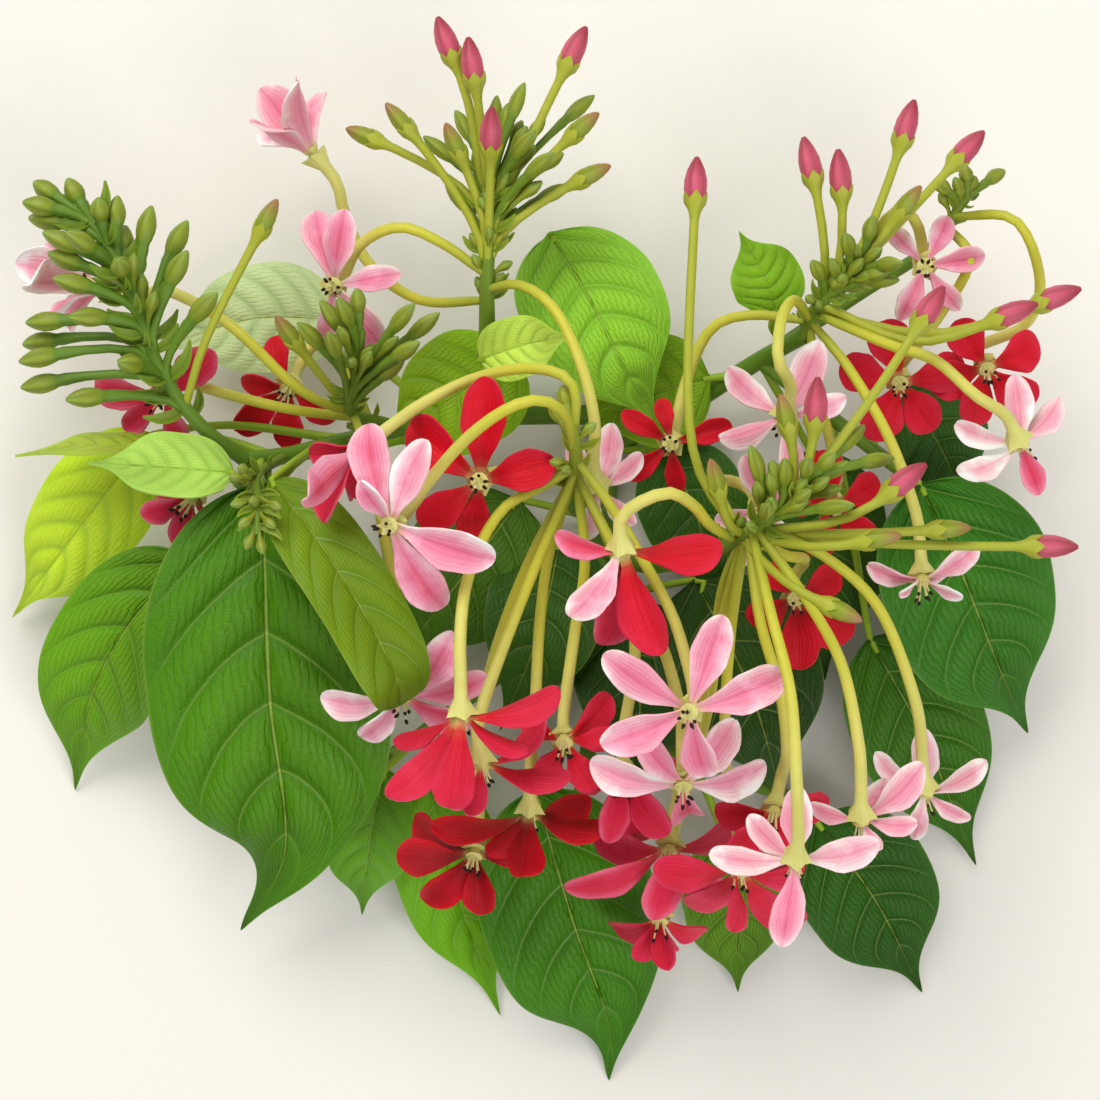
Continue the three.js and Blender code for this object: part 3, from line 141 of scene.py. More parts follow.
# Flower spikes: name, shoot and share of its length, points of the axis, radius, and the buds by kind,
# each with its share of the axis, its tip and a bend of its stalk if it has one
SPIKES = [
  ["spike_left", ["left", 1],
    [[-70, 25, 58], [-78, 36, 62], [-83, 50, 64], [-89, 62, 64], [-95, 69, 62]], 1.6, {
    "green": [[0.42, [-106.4, 37.6, 66]], [0.33, [-106, 32.4, 62]], [0.25, [-97, 30, 68]],
      [0.5, [-105, 45.4, 62]], [0.45, [-105.6, 41, 57]], [0.52, [-96.4, 46.6, 70]],
      [0.58, [-99.6, 54.4, 67]], [0.64, [-100.6, 59.4, 62]], [0.7, [-101.6, 63.6, 66]],
      [0.72, [-96.8, 63.6, 71]], [0.92, [-105.6, 69.6, 64]], [0.96, [-103.4, 73.6, 60]],
      [0.84, [-104.4, 66.4, 60]], [0.9, [-96.6, 74.4, 62]], [0.82, [-90.4, 70.6, 68]],
      [0.76, [-86.4, 71, 64]], [0.7, [-85, 65, 60]], [0.6, [-79.6, 69, 66]], [0.5, [-72.4, 66, 62]],
      [0.46, [-72.4, 60, 68]], [0.36, [-66.4, 51.6, 68]], [0.66, [-86.4, 58, 74]],
      [0.36, [-86.4, 37.6, 74]]],
    "tall": [[0.26, [-54.4, 70.4, 70], [-68, 44, 66]]],
  }],
  ["spike_inner_left", ["left", 0.56], [[-40, 28, 46], [-38.6, 36, 55], [-37.6, 44, 59]], 1.4, {
    "green": [[0.6, [-50.6, 45.6, 65]], [0.55, [-44.4, 43.6, 69]], [0.78, [-46, 50, 63]],
      [0.86, [-42.4, 50.4, 67]], [0.96, [-38.6, 52.4, 62]], [0.65, [-27, 49.4, 64]],
      [0.5, [-22, 47.6, 58]], [0.55, [-26, 41.6, 67]], [0.4, [-29, 38.4, 61]]],
    "tall": [[0.4, [-55, 47, 60]]],
  }],
  ["spike_top", ["to_top", 1], [[-12.6, 54, 50], [-12, 68, 52], [-11.6, 76, 52]], 1.8, {
    "green": [[0.66, [9, 91, 47]], [0.75, [-25.4, 82.8, 51]], [0.86, [-19, 88, 47]],
      [0.95, [-10.6, 91, 50]], [0.9, [-5, 93.6, 54]], [0.8, [-2.8, 84, 60]], [0.6, [1, 79.6, 61]],
      [0.5, [4.6, 73, 50]], [0.45, [-21, 74, 50]]],
    "tall": [[0.5, [-21, 85.6, 60]], [0.35, [-33, 89.6, 56]], [0.6, [-41, 84.4, 44]],
      [0.5, [10, 87.6, 57]], [0.4, [12.4, 77, 54]]],
    "pink": [[0.6, [-22.6, 107, 52], [-16, 88, 52]], [0.7, [-16.4, 103, 56]],
      [0.65, [7.4, 105, 52], [-1, 88, 53]], [0.4, [-11.6, 89, 64]]],
  }],
  ["spike_top_right", ["right", 1], [[53, 48, 47], [58, 53, 51], [63, 58, 52]], 1.6, {
    "green": [[0.9, [64.6, 67, 56]], [0.75, [59, 63.4, 60]], [0.8, [70.6, 57.4, 60]],
      [0.6, [70, 54, 54]], [0.45, [52.4, 58, 56]]],
    "tall": [[0.85, [74.4, 73, 56]]],
    "pink": [[0.35, [50.6, 83, 52]], [0.5, [57.6, 80.6, 56]], [0.6, [73, 90.4, 54]],
      [0.7, [87, 84, 47]], [0.3, [106.6, 52.4, 52], [78, 43.4, 52]],
      [0.4, [98, 49.4, 60], [74, 41.6, 57]]],
  }],
  ["spike_right", ["to_east", 1], [[38.4, 2.6, 69], [42, 5, 74], [48, 9.5, 76], [52, 14, 78]], 1.7, {
    "green": [[0.5, [40, 21, 82]], [0.45, [43.6, 9, 88]], [0.65, [47, 18.4, 84]],
      [0.85, [51.6, 18.4, 86]], [0.95, [57, 19.6, 82]], [0.55, [61, 9, 84]], [0.95, [69, 18.4, 72]],
      [0.9, [63, 25, 72]]],
    "tall": [[0.3, [32, 18.4, 82], [35.4, 6, 76]], [0.32, [70.6, 3, 86], [54, 0.6, 82]],
      [0.26, [62.6, -14.4, 90], [48, -7, 86]], [0.36, [84.4, 4.4, 72], [64, 3.4, 74]],
      [0.75, [46, 31.4, 78]]],
    "pink": [[0.4, [75.6, 17.4, 80], [60, 6.6, 80]], [0.3, [106, 0.6, 68], [74, 1, 70]],
      [0.85, [53.6, 35, 82]], [0.9, [79, 53, 72], [64, 30, 76]], [0.22, [29.4, 79, 66], [28, 24, 72]]],
  }],
  ["spike_middle", ["to_middle", 1], [[5.2, 17, 72], [5, 21, 78], [4.4, 25, 81]], 1.8, {
    "green": [[0.7, [0, 30, 74]], [0.95, [2.4, 33, 78]]],
  }],
  ["spike_back_right", ["to_back", 1], [[80, 66, 35], [84, 71, 37]], 1.3, {
    "green": [[0.9, [83, 77, 38]], [0.7, [76.6, 74, 40]], [0.95, [91, 76, 34]]],
  }],
  ["spike_young", ["left", 0.88], [[-58.4, 15, 64], [-58.4, 10, 72], [-58.6, 3, 74]], 1.1, {
    "young": [[0.75, [-64, 9, 75]], [0.75, [-53.6, 8.4, 76]], [0.85, [-62.4, 4.6, 76]],
      [0.85, [-54.8, 4.4, 76]], [0.95, [-57.4, -1, 75]], [0.92, [-61, 0, 74]], [0.5, [-62, 16.6, 77]]],
  }],
]

# Blooms: name, slot, centre, where it looks, petal tips with their height over the centre, spike and
# share of its length, bends of the floral tube
BLOOMS = [
  ["bloom_front_pink", "pink", [28, -31.6, 86], [-0.15, -0.35, 0.92],
    [[10.6, -21, 2], [34.8, -13, 1], [47.2, -24.6, -1], [10.2, -39, 1], [31, -45, -8]],
    "spike_middle", 0.5, [[12, 9, 76], [18, -1, 75], [24, -12, 78], [27, -21, 79]]],
  ["bloom_front_pink_low", "pink", [26.6, -46, 69], [0, -0.75, 0.66],
    [[8, -42.4, 0], [18, -37, 7], [37, -33.6, 7], [43.6, -43.6, 0], [28, -54, -12]],
    "spike_middle", 0.2, [[14, -2, 73], [22, -18, 68], [26, -32, 64]]],
  ["bloom_centre", "red", [14.4, 0.6, 86], [0, -0.8, -0.5],
    [[1, 3, 1], [4, -14, 4], [9, -19, -5], [22, -21, -4], [34.6, 1, 0]],
    "spike_right", 0.2, [[32, 5, 79], [28.6, 9, 87], [23, 11.4, 92]]],
  ["bloom_upper_red", "red", [-14, 14, 70], [-0.05, -0.15, 0.98],
    [[-12.6, 35, 7], [1, 17.5, 4], [-15.4, 3, -6], [-26, 5, -2], [-28, 25, -3]],
    "spike_middle", 0.4, [[-2, 15, 67], [-8, 16, 60]]],
  ["bloom_left_pink", "pink", [-31.4, 5.6, 85], [-0.35, -0.3, 0.85],
    [[-36.4, 25.4, 0], [-25, 22, 3], [-11, -1.6, -3], [-21.4, -10.6, -8], [-38, 14, 8]],
    "spike_middle", 0.75, [[3, 27, 86], [-2, 30, 90], [-9, 28, 90], [-17, 22, 86], [-24, 14, 80]]],
  ["bloom_far_left_pink", "pink", [-36.8, 21, 76], [-0.75, -0.6, 0.2],
    [[-48.4, 19, -3], [-47.4, 10, 8], [-46, 6, 1], [-36.4, 9.6, -6], [-41, 13, -16]],
    "spike_middle", 0.9, [[5, 32, 82], [1, 35.6, 80], [-7, 36.2, 75], [-16, 34, 71], [-25, 29.6, 71]]],
  ["bloom_lower_red", "red", [-17.8, -32.4, 82], [0, -0.9, -0.3],
    [[-31.6, -38, -4], [-32, -50, 2], [-20.4, -52, 7], [2, -28.4, 0], [-5, -41, -2]],
    "spike_middle", 0.35, [[-2, 12.5, 72], [-9, 8.6, 70], [-14, 1, 73], [-17, -8, 80], [-18, -18, 84]]],
  ["bloom_lower_red_second", "red", [-13.6, -42, 70], [0.1, -0.9, -0.2],
    [[-16, -53.4, 6], [4, -45.6, 2], [-26, -46, -5], [-24, -40, -3], [-1, -34, 0]],
    "spike_middle", 0.3, [[2, 8, 68], [-4, -6, 65], [-11, -24, 69]]],
  ["bloom_dark_cluster", "dark_red", [-4, -52, 56], [0, -0.9, -0.3],
    [[-5.2, -65, 5], [-24, -55, -2], [11, -56, 0], [8, -50, -9], [-12.4, -61, -1]],
    "spike_middle", 0.24, [[0, 0, 60], [-2, -14, 56], [-3, -32, 57]]],
  ["bloom_dark_cluster", "dark_red", [-15, -60, 48], [-0.1, -0.7, 0.6],
    [[-31, -60.6, 0], [-13, -73, 0], [-3, -60, 0], [-28, -54, 0], [-25, -71, -2]],
    "spike_middle", 0.2, [[-5, -4, 52], [-12, -24, 42], [-15, -42, 40]]],
  ["bloom_yellow_throat", "red", [2.8, -37.4, 66], [0, -0.6, 0.7],
    [[14, -37, 2], [-5, -33.6, -2], [9, -48, -1], [-2, -46, -6], [12, -29, -1]],
    "spike_middle", 0.16, [[7, -2, 66], [5, -16, 61]]],
  ["bloom_bottom_red", "red", [14.6, -44, 55], [0, -0.8, 0.5],
    [[11.4, -58.6, 4], [24, -57, 4], [4, -46, -1], [26, -42.6, -3], [20, -58, -6]],
    "spike_middle", 0.18, [[14, -4, 58], [17, -20, 52]]],
  ["bloom_bottom_red", "red", [24, -59, 50], [-0.1, -0.75, 0.5],
    [[3.4, -68.4, 2], [21, -74, 5], [9, -56, -4], [38, -55.4, -5], [34, -68, -6]],
    "spike_right", 0.26, [[33, -20, 54], [29, -36, 45]]],
  ["bloom_lowest_red", "dark_red", [22, -73, 36], [0, -0.75, 0.5],
    [[24, -84.4, 1], [17, -82, 0], [31, -77, -6], [12, -76, -6], [22, -80, -12]],
    "spike_right", 0.22, [[34, -10, 56], [32, -30, 42], [26, -52, 32]]],
  ["bloom_droplet_red", "red", [37.8, -63.4, 60], [0, -0.8, 0.45],
    [[20.6, -63.6, 2], [37.2, -76.4, 7], [51, -64, -6], [28, -72, -9], [50, -75, -6]],
    "spike_right", 0.3, [[36, -18, 62], [35, -40, 55]]],
  ["bloom_right_white", "pale_pink", [49.2, -61.4, 82], [0, -0.65, -0.6],
    [[31.8, -61, -2], [39.8, -53.6, -6], [49.6, -48, -10], [65.8, -58.8, -4], [46.4, -79.4, 4]],
    "spike_right", 0.42, [[44, -12, 84], [48, -28, 90], [49.2, -44, 93]]],
  ["bloom_right_hidden_red", "red", [45, -51.4, 62], [-0.2, -0.75, 0.5],
    [[36, -60, 3], [33, -52, 0], [50, -61, 2], [56, -50, 1], [44, -64, -9]],
    "spike_right", 0.36, [[42, -14, 76], [46, -28, 73], [47.4, -40, 66]]],
  ["bloom_right_pink", "pale_pink", [62.2, -53, 70], [0.05, -0.75, -0.45],
    [[52, -51, -4], [67.4, -45, -10], [74.8, -43, -6], [73.4, -55, 0], [66.2, -60, 4]],
    "spike_right", 0.46, [[50, -8, 78], [58, -22, 79], [61.6, -38, 77]]],
  ["bloom_far_right_pale", "pale_pink", [74.8, -47.6, 48], [0.1, -0.8, -0.4],
    [[87.4, -42.4, 0], [75, -36, -8], [65, -41, -5], [73, -58, 4], [84, -54, 2]],
    "spike_right", 0.52, [[56, -2, 72], [66, -12, 68], [73, -30, 62]]],
  ["bloom_right_shelf", "pale_pink", [74.4, -5, 52], [0, -0.8, 0.4],
    [[63.6, -3, 2], [85.6, 1.6, 3], [80, -1, -9], [83, -9, 4], [70, -9, 6]],
    "spike_top_right", 0.16, [[60, 36, 50], [68, 22, 53], [73, 8, 53]]],
  ["bloom_right_fan", "pale_pink", [93.6, 22, 58], [0.4, -0.6, -0.5],
    [[81, 25, -2], [93, 35, -5], [102, 30, -6], [81.6, 15, 4], [98, 11, 0]],
    "spike_top_right", 0.28, [[68, 41, 57], [77, 38, 64], [85, 31, 66]]],
  ["bloom_upper_right_pink", "pink", [47, 27.4, 62], [-0.1, -0.65, -0.6],
    [[35.6, 36.4, -4], [54, 41.4, -7], [59.4, 31, -3], [34, 22, 2], [50, 14, 3]],
    "spike_top_right", 0.2, [[49, 50, 56], [46.4, 46.6, 65], [45.6, 38, 70]]],
  ["bloom_middle_red", "red", [24.2, 21.4, 46], [-0.1, -0.1, 0.95],
    [[14.4, 27.6, 2], [22.4, 30.6, -2], [36.4, 25, 1], [16, 14, 0], [25.6, 11, 0]],
    "spike_top_right", 0.15, [[40, 47, 43], [32, 44, 41], [27, 33, 38]]],
  ["bloom_middle_pale", "pale_pink", [9.4, 13, 54], [0.1, -0.65, -0.5],
    [[12.4, 25, -6], [4, 22, -2], [18.6, 19, -2], [7, 2, 2], [17, 5, 0]],
    "spike_top", 0.2, [[-6, 53, 56], [1, 48, 61], [6.6, 36, 64], [9, 25, 62]]],
  ["bloom_upper_left_pink", "pink", [-43, 53, 52], [-0.1, -0.15, 0.9],
    [[-47, 68, 1], [-41, 68.4, 4], [-30, 55.4, 3], [-33, 40, -2], [-44.6, 41, -4]],
    "spike_top", 0.3, [[-21, 61, 53], [-30, 64.6, 52], [-38, 61, 47]]],
  ["bloom_top_left_half_open", "pink", [-47, 79, 42], [-0.6, 0.75, 0.2],
    [[-58, 92.4, 0], [-50, 94, 5], [-60, 86, 5], [-47, 92, -5], [-57, 84, -4]],
    "spike_top", 0.1, [[-26, 50, 36], [-36, 57, 34], [-41, 67, 37]]],
  ["bloom_back_left_red", "red", [-52, 33, 30], [-0.2, -0.6, 0.7],
    [[-62, 34, 0], [-52, 20, 0], [-63, 24, 0], [-43, 26, 0], [-55, 43, 0]],
    "spike_inner_left", 0.2, [[-43, 40, 35], [-47, 41, 26]]],
  ["bloom_far_left_pale", "pale_pink", [-89, 52, 36], [-0.9, 0.3, 0.2],
    [[-107, 57.4, 0], [-101, 47, 3], [-101, 61, -4], [-97, 44, -5], [-104, 53, 9]],
    "spike_inner_left", 0.3, [[-50, 32, 49], [-64, 45, 48], [-77, 52, 42]]],
  ["bloom_left_behind", "red", [-77, 31, 37], [-0.3, -0.4, 0.75],
    [[-91, 33, -3], [-85, 24, -2], [-73, 20, 2], [-67, 40, 6], [-82, 43, 1]],
    "spike_inner_left", 0.24, [[-51, 28, 42], [-64, 31, 41], [-74, 34, 34]]],
  ["bloom_under_leaf", "red", [-71, 11, 48], [-0.5, -0.6, 0.3],
    [[-82, 7, 1], [-75, 1, -3], [-82, 15, -5], [-63, 4, -5], [-72, 6, -11]],
    "spike_inner_left", 0.16, [[-48, 12, 44], [-60, 13, 46]]],
  ["bloom_behind_curl", "pink", [-29.6, -28.4, 59], [0, -0.85, 0.4],
    [[-46, -29.6, 2], [-19.6, -17.4, 6], [-12.4, -25, 1], [-15, -33, -4], [-38, -38, -4]],
    "spike_inner_left", 0.4, [[-36, 18, 54], [-33, 2, 59], [-30, -14, 59]]],
  ["bloom_back_right_red", "red", [70, 34, 38], [-0.1, -0.4, 0.8],
    [[58, 37, 0], [64, 22, 1], [77, 24, 1], [83, 37, -3], [67, 46, 0]],
    "spike_back_right", 0.4, [[84, 58, 46], [78, 47, 38]]],
  ["bloom_back_right_red", "red", [87, 37, 34], [0.1, -0.5, 0.7],
    [[75, 34, 2], [84, 25, 1], [97, 29, 0], [98, 42, 0], [81, 46, 3]],
    "spike_back_right", 0.6, [[93, 66, 44], [98, 54, 38], [95, 45, 27]]],
  ["bloom_top_right_pink", "pink", [75, 57, 46], [-0.1, -0.2, 0.8],
    [[67.6, 65, 0], [87.4, 59, 0], [82, 48, 0], [70, 46, 1], [80, 67, -3]],
    "spike_top_right", 0.9, [[68, 67, 50], [73, 66, 42]]],
  ["bloom_behind_right_spike", "pale_pink", [42, 9, 48], [0.3, -0.5, 0.75],
    [[33, 5.6, 0], [39, 19, 2], [50, 15, 0], [47, 1, 0], [38, -3, 0]],
    "spike_right", 0.26, [[33.4, 12, 57], [35, 14, 45]]],
  ["bloom_behind_right_red", "red", [57, 9, 38], [0, -0.3, 0.9],
    [[46, 12, 0], [54, 20, 0], [66, 14, 0], [64, 1, 0], [52, -1, 0]],
    "spike_top_right", 0.12, [[53, 34, 38], [56, 22, 29], [57.6, 14, 28]]],
  ["bloom_right_dark", "dark_red", [49, -9, 46], [0, -0.45, 0.85],
    [[39.6, -14, 0], [50, -24, 1], [60, -18, 0], [58, -4, -1], [43, -3, 0]],
    "spike_right", 0.3, [[47, -1, 60], [51, -2, 44]]],
]

# Ages of each bloom's petals, in the order of BLOOMS: 0 is the oldest and dark red, 3 is pink, and 5 is the
# newest and nearly white. Five numbers are one for each petal.
AGES = [
    3.4, [4.2, 3.4, 3.8, 4.1, 2.8], [2.2, 3.7, 1.8, 1.2, 1.1], 1, [3.2, 3.8, 3.4, 3.1, 3.3],
    [1.8, 2.7, 1.8, 1.5, 1.7], 1.5, 1.6, 0.5, 0.4, 1.3, 1.8, 1.9, 1.6, 1.7, [4.4, 4, 3.6, 4.2, 3.3],
    1.5, 3.8, 4.2, 3.9, [4.3, 4.1, 4.2, 4.4, 2.5], 3.8, 0.8, 3.9, 3.3, 3.6, 1, 4, 2, 1.9,
    [4.2, 3.3, 3, 2.4, 3.9], 1.2, 1.1, 3.3, 3.6, 1, 0.7,
]

# Colours of the outer leaves, in the order of LEAVES, and of the hidden ones
LEAF_TINTS = [
    "4b8206", "6c8c0c", "acd45d", "c3e430", "69a210", "b2d03c", "62a018", "70b104", "418003",
    "5a8810", "2b5f06", "3b710d", "377713", "92cf36", "84b921", "c1e456", "bfd69c",
]
# The hidden leaves from the third on are darkened: painted shade deep inside the spray.
INNER_TINTS = ["8cb812", "86b416", "46700a", "345f08", "274f06", "264a06", "34600e", "325f0c", "346716"]


def at(point):
    """A seen point as a real one."""
    x, y, z = point
    scale = (EYE_HEIGHT - z) / (EYE_HEIGHT - SIGHT_HEIGHT)
    return Vector((x * scale + SHIFT[0], y * scale + SHIFT[1], z))


def linear(hex_colour):
    """A colour written as on a paint chart, as light."""
    channels = [int(hex_colour[i:i + 2], 16) / 255 for i in (0, 2, 4)]
    return Vector([c / 12.92 if c <= 0.04045 else ((c + 0.055) / 1.055) ** 2.4 for c in channels])


def smooth(low, high, value):
    """0 below low, 1 above high and an even rise between."""
    share = min(1, max(0, (value - low) / (high - low)))
    return share * share * (3 - 2 * share)


def across_from(direction, axis):
    """The part of a direction that is square to an axis, one unit long."""
    return (direction - direction.project(axis)).normalized()


class Line:
    """A smooth line through points, read by a share of its length."""

    DIVISIONS = 120

    def __init__(self, points):
        self.points = points
        spots = [self.spot(i / self.DIVISIONS) for i in range(self.DIVISIONS + 1)]
        self.lengths = [0]
        for a, b in zip(spots, spots[1:]):
            self.lengths.append(self.lengths[-1] + (b - a).length)
        self.length = self.lengths[-1]

    def spot(self, t):
        last = len(self.points) - 1
        cell = min(int(t * last), last - 1)
        w = t * last - cell
        a, b = self.points[cell], self.points[cell + 1]
        before = self.points[cell - 1] if cell > 0 else 2 * a - b
        after = self.points[cell + 2] if cell + 2 <= last else 2 * b - a
        start, end = (b - before) / 2, (after - a) / 2
        return a + w * start + w * w * (3 * (b - a) - 2 * start - end) + w ** 3 * (2 * (a - b) + start + end)

    def _t(self, share):
        target = share * self.length
        low, high = 0, self.DIVISIONS
        while high - low > 1:
            middle = (low + high) // 2
            if self.lengths[middle] <= target:
                low = middle
            else:
                high = middle
        step = self.lengths[high] - self.lengths[low]
        return (low + (target - self.lengths[low]) / step) / self.DIVISIONS

    def point(self, share):
        return self.spot(self._t(share))

    def tangent(self, share):
        t = self._t(share)
        return (self.spot(min(1, t + 1e-4)) - self.spot(max(0, t - 1e-4))).normalized()


class Arc(Line):
    """A line that leaves its start toward one point and bends to its end."""

    def __init__(self, start, bend, end):
        self.corners = (start, bend, end)
        super().__init__([start, end])

    def spot(self, t):
        start, bend, end = self.corners
        return (1 - t) ** 2 * start + 2 * t * (1 - t) * bend + t * t * end


WELD = 1e-4  # corners closer than this are one
SHARP_ANGLE = math.radians(55)  # edges that turn more than this are sharp


class Piece:
    """A mesh in the making, with a tint on every corner and a UV map along every tube and blade."""

    def __init__(self, name, *materials):
        self.name = name
        self.materials = materials
        self.bm = bmesh.new()
        self.tint = self.bm.verts.layers.float_color.new("Tint")
        self.bm.loops.layers.uv.new("Along")

    def _grid(self, columns, rows, place, material):
        """A grid of cells. place(u, v) gives a corner's place and tint, with u and v from 0 to 1."""
        cells = {"x_segments": columns, "y_segments": rows, "size": 0.5, "calc_uvs": True}
        made = bmesh.ops.create_grid(self.bm, **cells)["verts"]
        for corner in made:
            co, tint = place(corner.co.x + 0.5, corner.co.y + 0.5)
            corner.co = co
            corner[self.tint] = (*tint, 1)
        faces = list(dict.fromkeys(face for corner in made for face in corner.link_faces))
        for face in faces:
            face.material_index = material
        return made, faces

    def tube(self, line, profile, sides, tint, material=0, ridge=None):
        """A round tube of (share, radius) pairs along a line. ridge(u, row) adds radius and reach."""
        rings = []
        tangent = line.tangent(profile[0][0])
        side = across_from(Vector((0, 0, 1)), tangent)
        for share, radius in profile:
            onward = line.tangent(share)
            side = tangent.rotation_difference(onward) @ side
            tangent = onward
            rings.append((radius, line.point(share), side, side.cross(tangent), tangent, share))
        rings = [(0, *rings[0][1:]), *rings, (0, *rings[-1][1:])]
        rows = len(rings) - 1

        def place(u, v):
            row = round(v * rows)
            radius, centre, side, across, tangent, share = rings[row]
            angle = FULL_TURN * u
            out, reach = ridge(u, row - 1) if ridge and radius > 0 else (0, 0)
            way = side * math.cos(angle) + across * math.sin(angle)
            return centre + way * (radius + out) + tangent * reach, tint(share, u)

        made, _ = self._grid(sides, rows, place, material)
        bmesh.ops.remove_doubles(self.bm, verts=made, dist=WELD)

    def blade(self, columns, rows, thickness, surface, tint):
        """A thin blade. surface(u, v) gives its place: u runs from -1 to 1 across, v from 0 to 1 along."""
        def place(u, v):
            return surface(2 * u - 1, v), tint(2 * u - 1, v)

        _, faces = self._grid(columns, rows, place, 0)
        bmesh.ops.recalc_face_normals(self.bm, faces=faces)
        bmesh.ops.solidify(self.bm, geom=faces, thickness=thickness)

    def finish(self, slot, *nodes):
        """Makes the object, which rides on the spray's one body and stands for its CAD nodes."""
        bmesh.ops.scale(self.bm, vec=Vector((MILLIMETRE,) * 3), verts=self.bm.verts)
        bmesh.ops.recalc_face_normals(self.bm, faces=self.bm.faces)
        mesh = bpy.data.meshes.new(self.name)
        self.bm.to_mesh(mesh)
        self.bm.free()
        mesh.polygons.foreach_set("use_smooth", [True] * len(mesh.polygons))
        mesh.set_sharp_from_angle(angle=SHARP_ANGLE)
        for material in self.materials:
            mesh.materials.append(material)
        piece = bpy.data.objects.new(self.name, mesh)
        bpy.context.scene.collection.objects.link(piece)
        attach(piece, "root")
        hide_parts(*nodes)


class Value:
    """A shader socket that adds its Math nodes as it is worked with."""

    def __init__(self, look, socket):
        self.look = look
        self.socket = socket

    def _math(self, operation, *terms):
        return self.look.node("ShaderNodeMath", {"operation": operation}, dict(enumerate(terms)))[0]

    def __add__(self, other):
        return self._math("ADD", self, other)

    def __radd__(self, other):
        return self._math("ADD", other, self)

    def __sub__(self, other):
        return self._math("SUBTRACT", self, other)

    def __rsub__(self, other):
        return self._math("SUBTRACT", other, self)

    def __mul__(self, other):
        return self._math("MULTIPLY", self, other)

    def __rmul__(self, other):
        return self._math("MULTIPLY", other, self)

    def __abs__(self):
        return self._math("ABSOLUTE", self)

    def to_whole(self):
        """How far it is from the nearest whole number."""
        return self._math("PINGPONG", self, 0.5)

    def whole(self):
        """The whole number nearest to it."""
        return self._math("ROUND", self)

    def rise(self, low, high):
        """0 at low, 1 at high and a smooth rise between."""
        limits = {"Value": self, "From Min": low, "From Max": high}
        return self.look.node("ShaderNodeMapRange", {"interpolation_type": "SMOOTHSTEP"}, limits)[0]


class Look:
    """A material in the making."""

    def __init__(self, name):
        self.material = bpy.data.materials.new(name)
        self.material.use_nodes = True
        self.tree = self.material.node_tree
        self.shader = next(n for n in self.tree.nodes if n.type == "BSDF_PRINCIPLED")

    def node(self, kind, settings=None, inputs=None):
        """Any node: its type, then its settings, then the values and links of its sockets."""
        node = self.tree.nodes.new(kind)
        for key, value in (settings or {}).items():
            setattr(node, key, value)
        for key, value in (inputs or {}).items():
            self.feed(node.inputs[key], value)
        return [Value(self, socket) for socket in node.outputs if socket.enabled]

    def feed(self, socket, value):
        if isinstance(value, Value):
            self.tree.links.new(value.socket, socket)
        else:
            socket.default_value = value

    def mix(self, factor, first, second, blend="MIX"):
        """Two colours mixed."""
        node = self.tree.nodes.new("ShaderNodeMix")
        node.data_type = "RGBA"
        node.blend_type = blend
        for i, value in ((0, factor), (6, first), (7, second)):
            self.feed(node.inputs[i], value)
        return Value(self, node.outputs[2])

    def tint(self):
        """The tint of the mesh's corners."""
        return self.node("ShaderNodeAttribute", {"attribute_name": "Tint"})[0]

    def along(self):
        """The UV map's two numbers: across or around, and along."""
        uv = self.node("ShaderNodeUVMap", {"uv_map": "Along"})[0]
        u, v, _ = self.node("ShaderNodeSeparateXYZ", None, {0: uv})
        return u, v

    def place(self):
        """The place in the spray."""
        return self.node("ShaderNodeTexCoord")[3]

    def noise(self, scale, detail=3.0, vector=None):
        return self.node("ShaderNodeTexNoise", None, {
            "Vector": vector or self.place(), "Scale": scale, "Detail": detail})[0]

    def bump(self, height, strength, distance):
        return self.node("ShaderNodeBump", None, {
            "Strength": strength, "Distance": distance, "Height": height})[0]

    def surface(self, **inputs):
        """Sets the shader's own sockets."""
        for key, value in inputs.items():
            self.feed(self.shader.inputs[key.replace("_", " ")], value)
        return self.material


def even(steps, start, end):
    """Evenly spaced shares, each with a radius that changes evenly."""
    return [(i / steps, start + (end - start) * i / steps) for i in range(steps + 1)]


def plain(colour):
    return lambda share, u: colour


def blended(stops):
    """A tint that changes along a tube: (share, colour) stops."""
    def tint(share, u):
        for (low, first), (high, second) in zip(stops, stops[1:]):
            if share <= high:
                return first.lerp(second, smooth(low, high, share))
        return stops[-1][1]

    return tint


def shoot_lines():
    """Every shoot of the vine: its line and its radius at both ends."""
    return {name: (Line([at(p) for p in points]), first, last) for name, points, first, last in SHOOTS}


def beside(shoots, root, towards, radius):
    """Where a stalk that leads towards a point starts: clear of its shoot's surface or past its end."""
    line, first, last = shoots[root[0]]
    share = root[1]
    point, tangent = line.point(share), line.tangent(share)
    way = (towards - point).normalized()
    lean = abs(way.dot(tangent))
    square = math.sqrt(1 - lean * lean)
    if share == 1:
        return point + way * (CLEARANCE + radius * square) / lean
    seat = SEAT_SHARE * (first + (last - first) * share)
    return point + way * (seat + CLEARANCE + radius * lean) / square


def joint(shoots, root):
    """The middle of a shoot at a root."""
    return shoots[root[0]][0].point(root[1])


# Leaves

VEINS = 7
VEIN_RISE = (0.1, 0.16)  # how far a side vein climbs toward the margin: its even part and its bent part
ROUND_BASE = 0.34  # share of a blade's length that its round base takes up
ROUND_TIP = 0.06  # the same for its very tip
TAPER = 0.075  # how slowly a blade narrows at its shoulder
RUFFLE = 0.045  # how far the margins wave, as a share of the half width
DROOP = 0.07  # how far the margins hang, the same way
BROAD_LEAF = 10  # half width from which a dark leaf has a deep net of veins
HUGE_LEAF = 20  # half width from which a leaf has twice the cells
INNER_FOLD = 6  # fold of the hidden leaves in degrees
RELIEF_WIDTH = 15  # half width of a leaf whose relief is the one in the settings
STALK_SIDES = 8
STALK_PROFILE = [(0, 1.35), (0.05, 1.25), (0.1, 1), *[(0.1 + 0.09 * i, 1 - 0.03 * i) for i in range(1, 11)]]
ANY_PHASE = (0, 6.28)  # where a wave of a leaf or petal may start
VISIBLE_NET = 0.78  # share of a blade's length that the side veins of a broad leaf reach


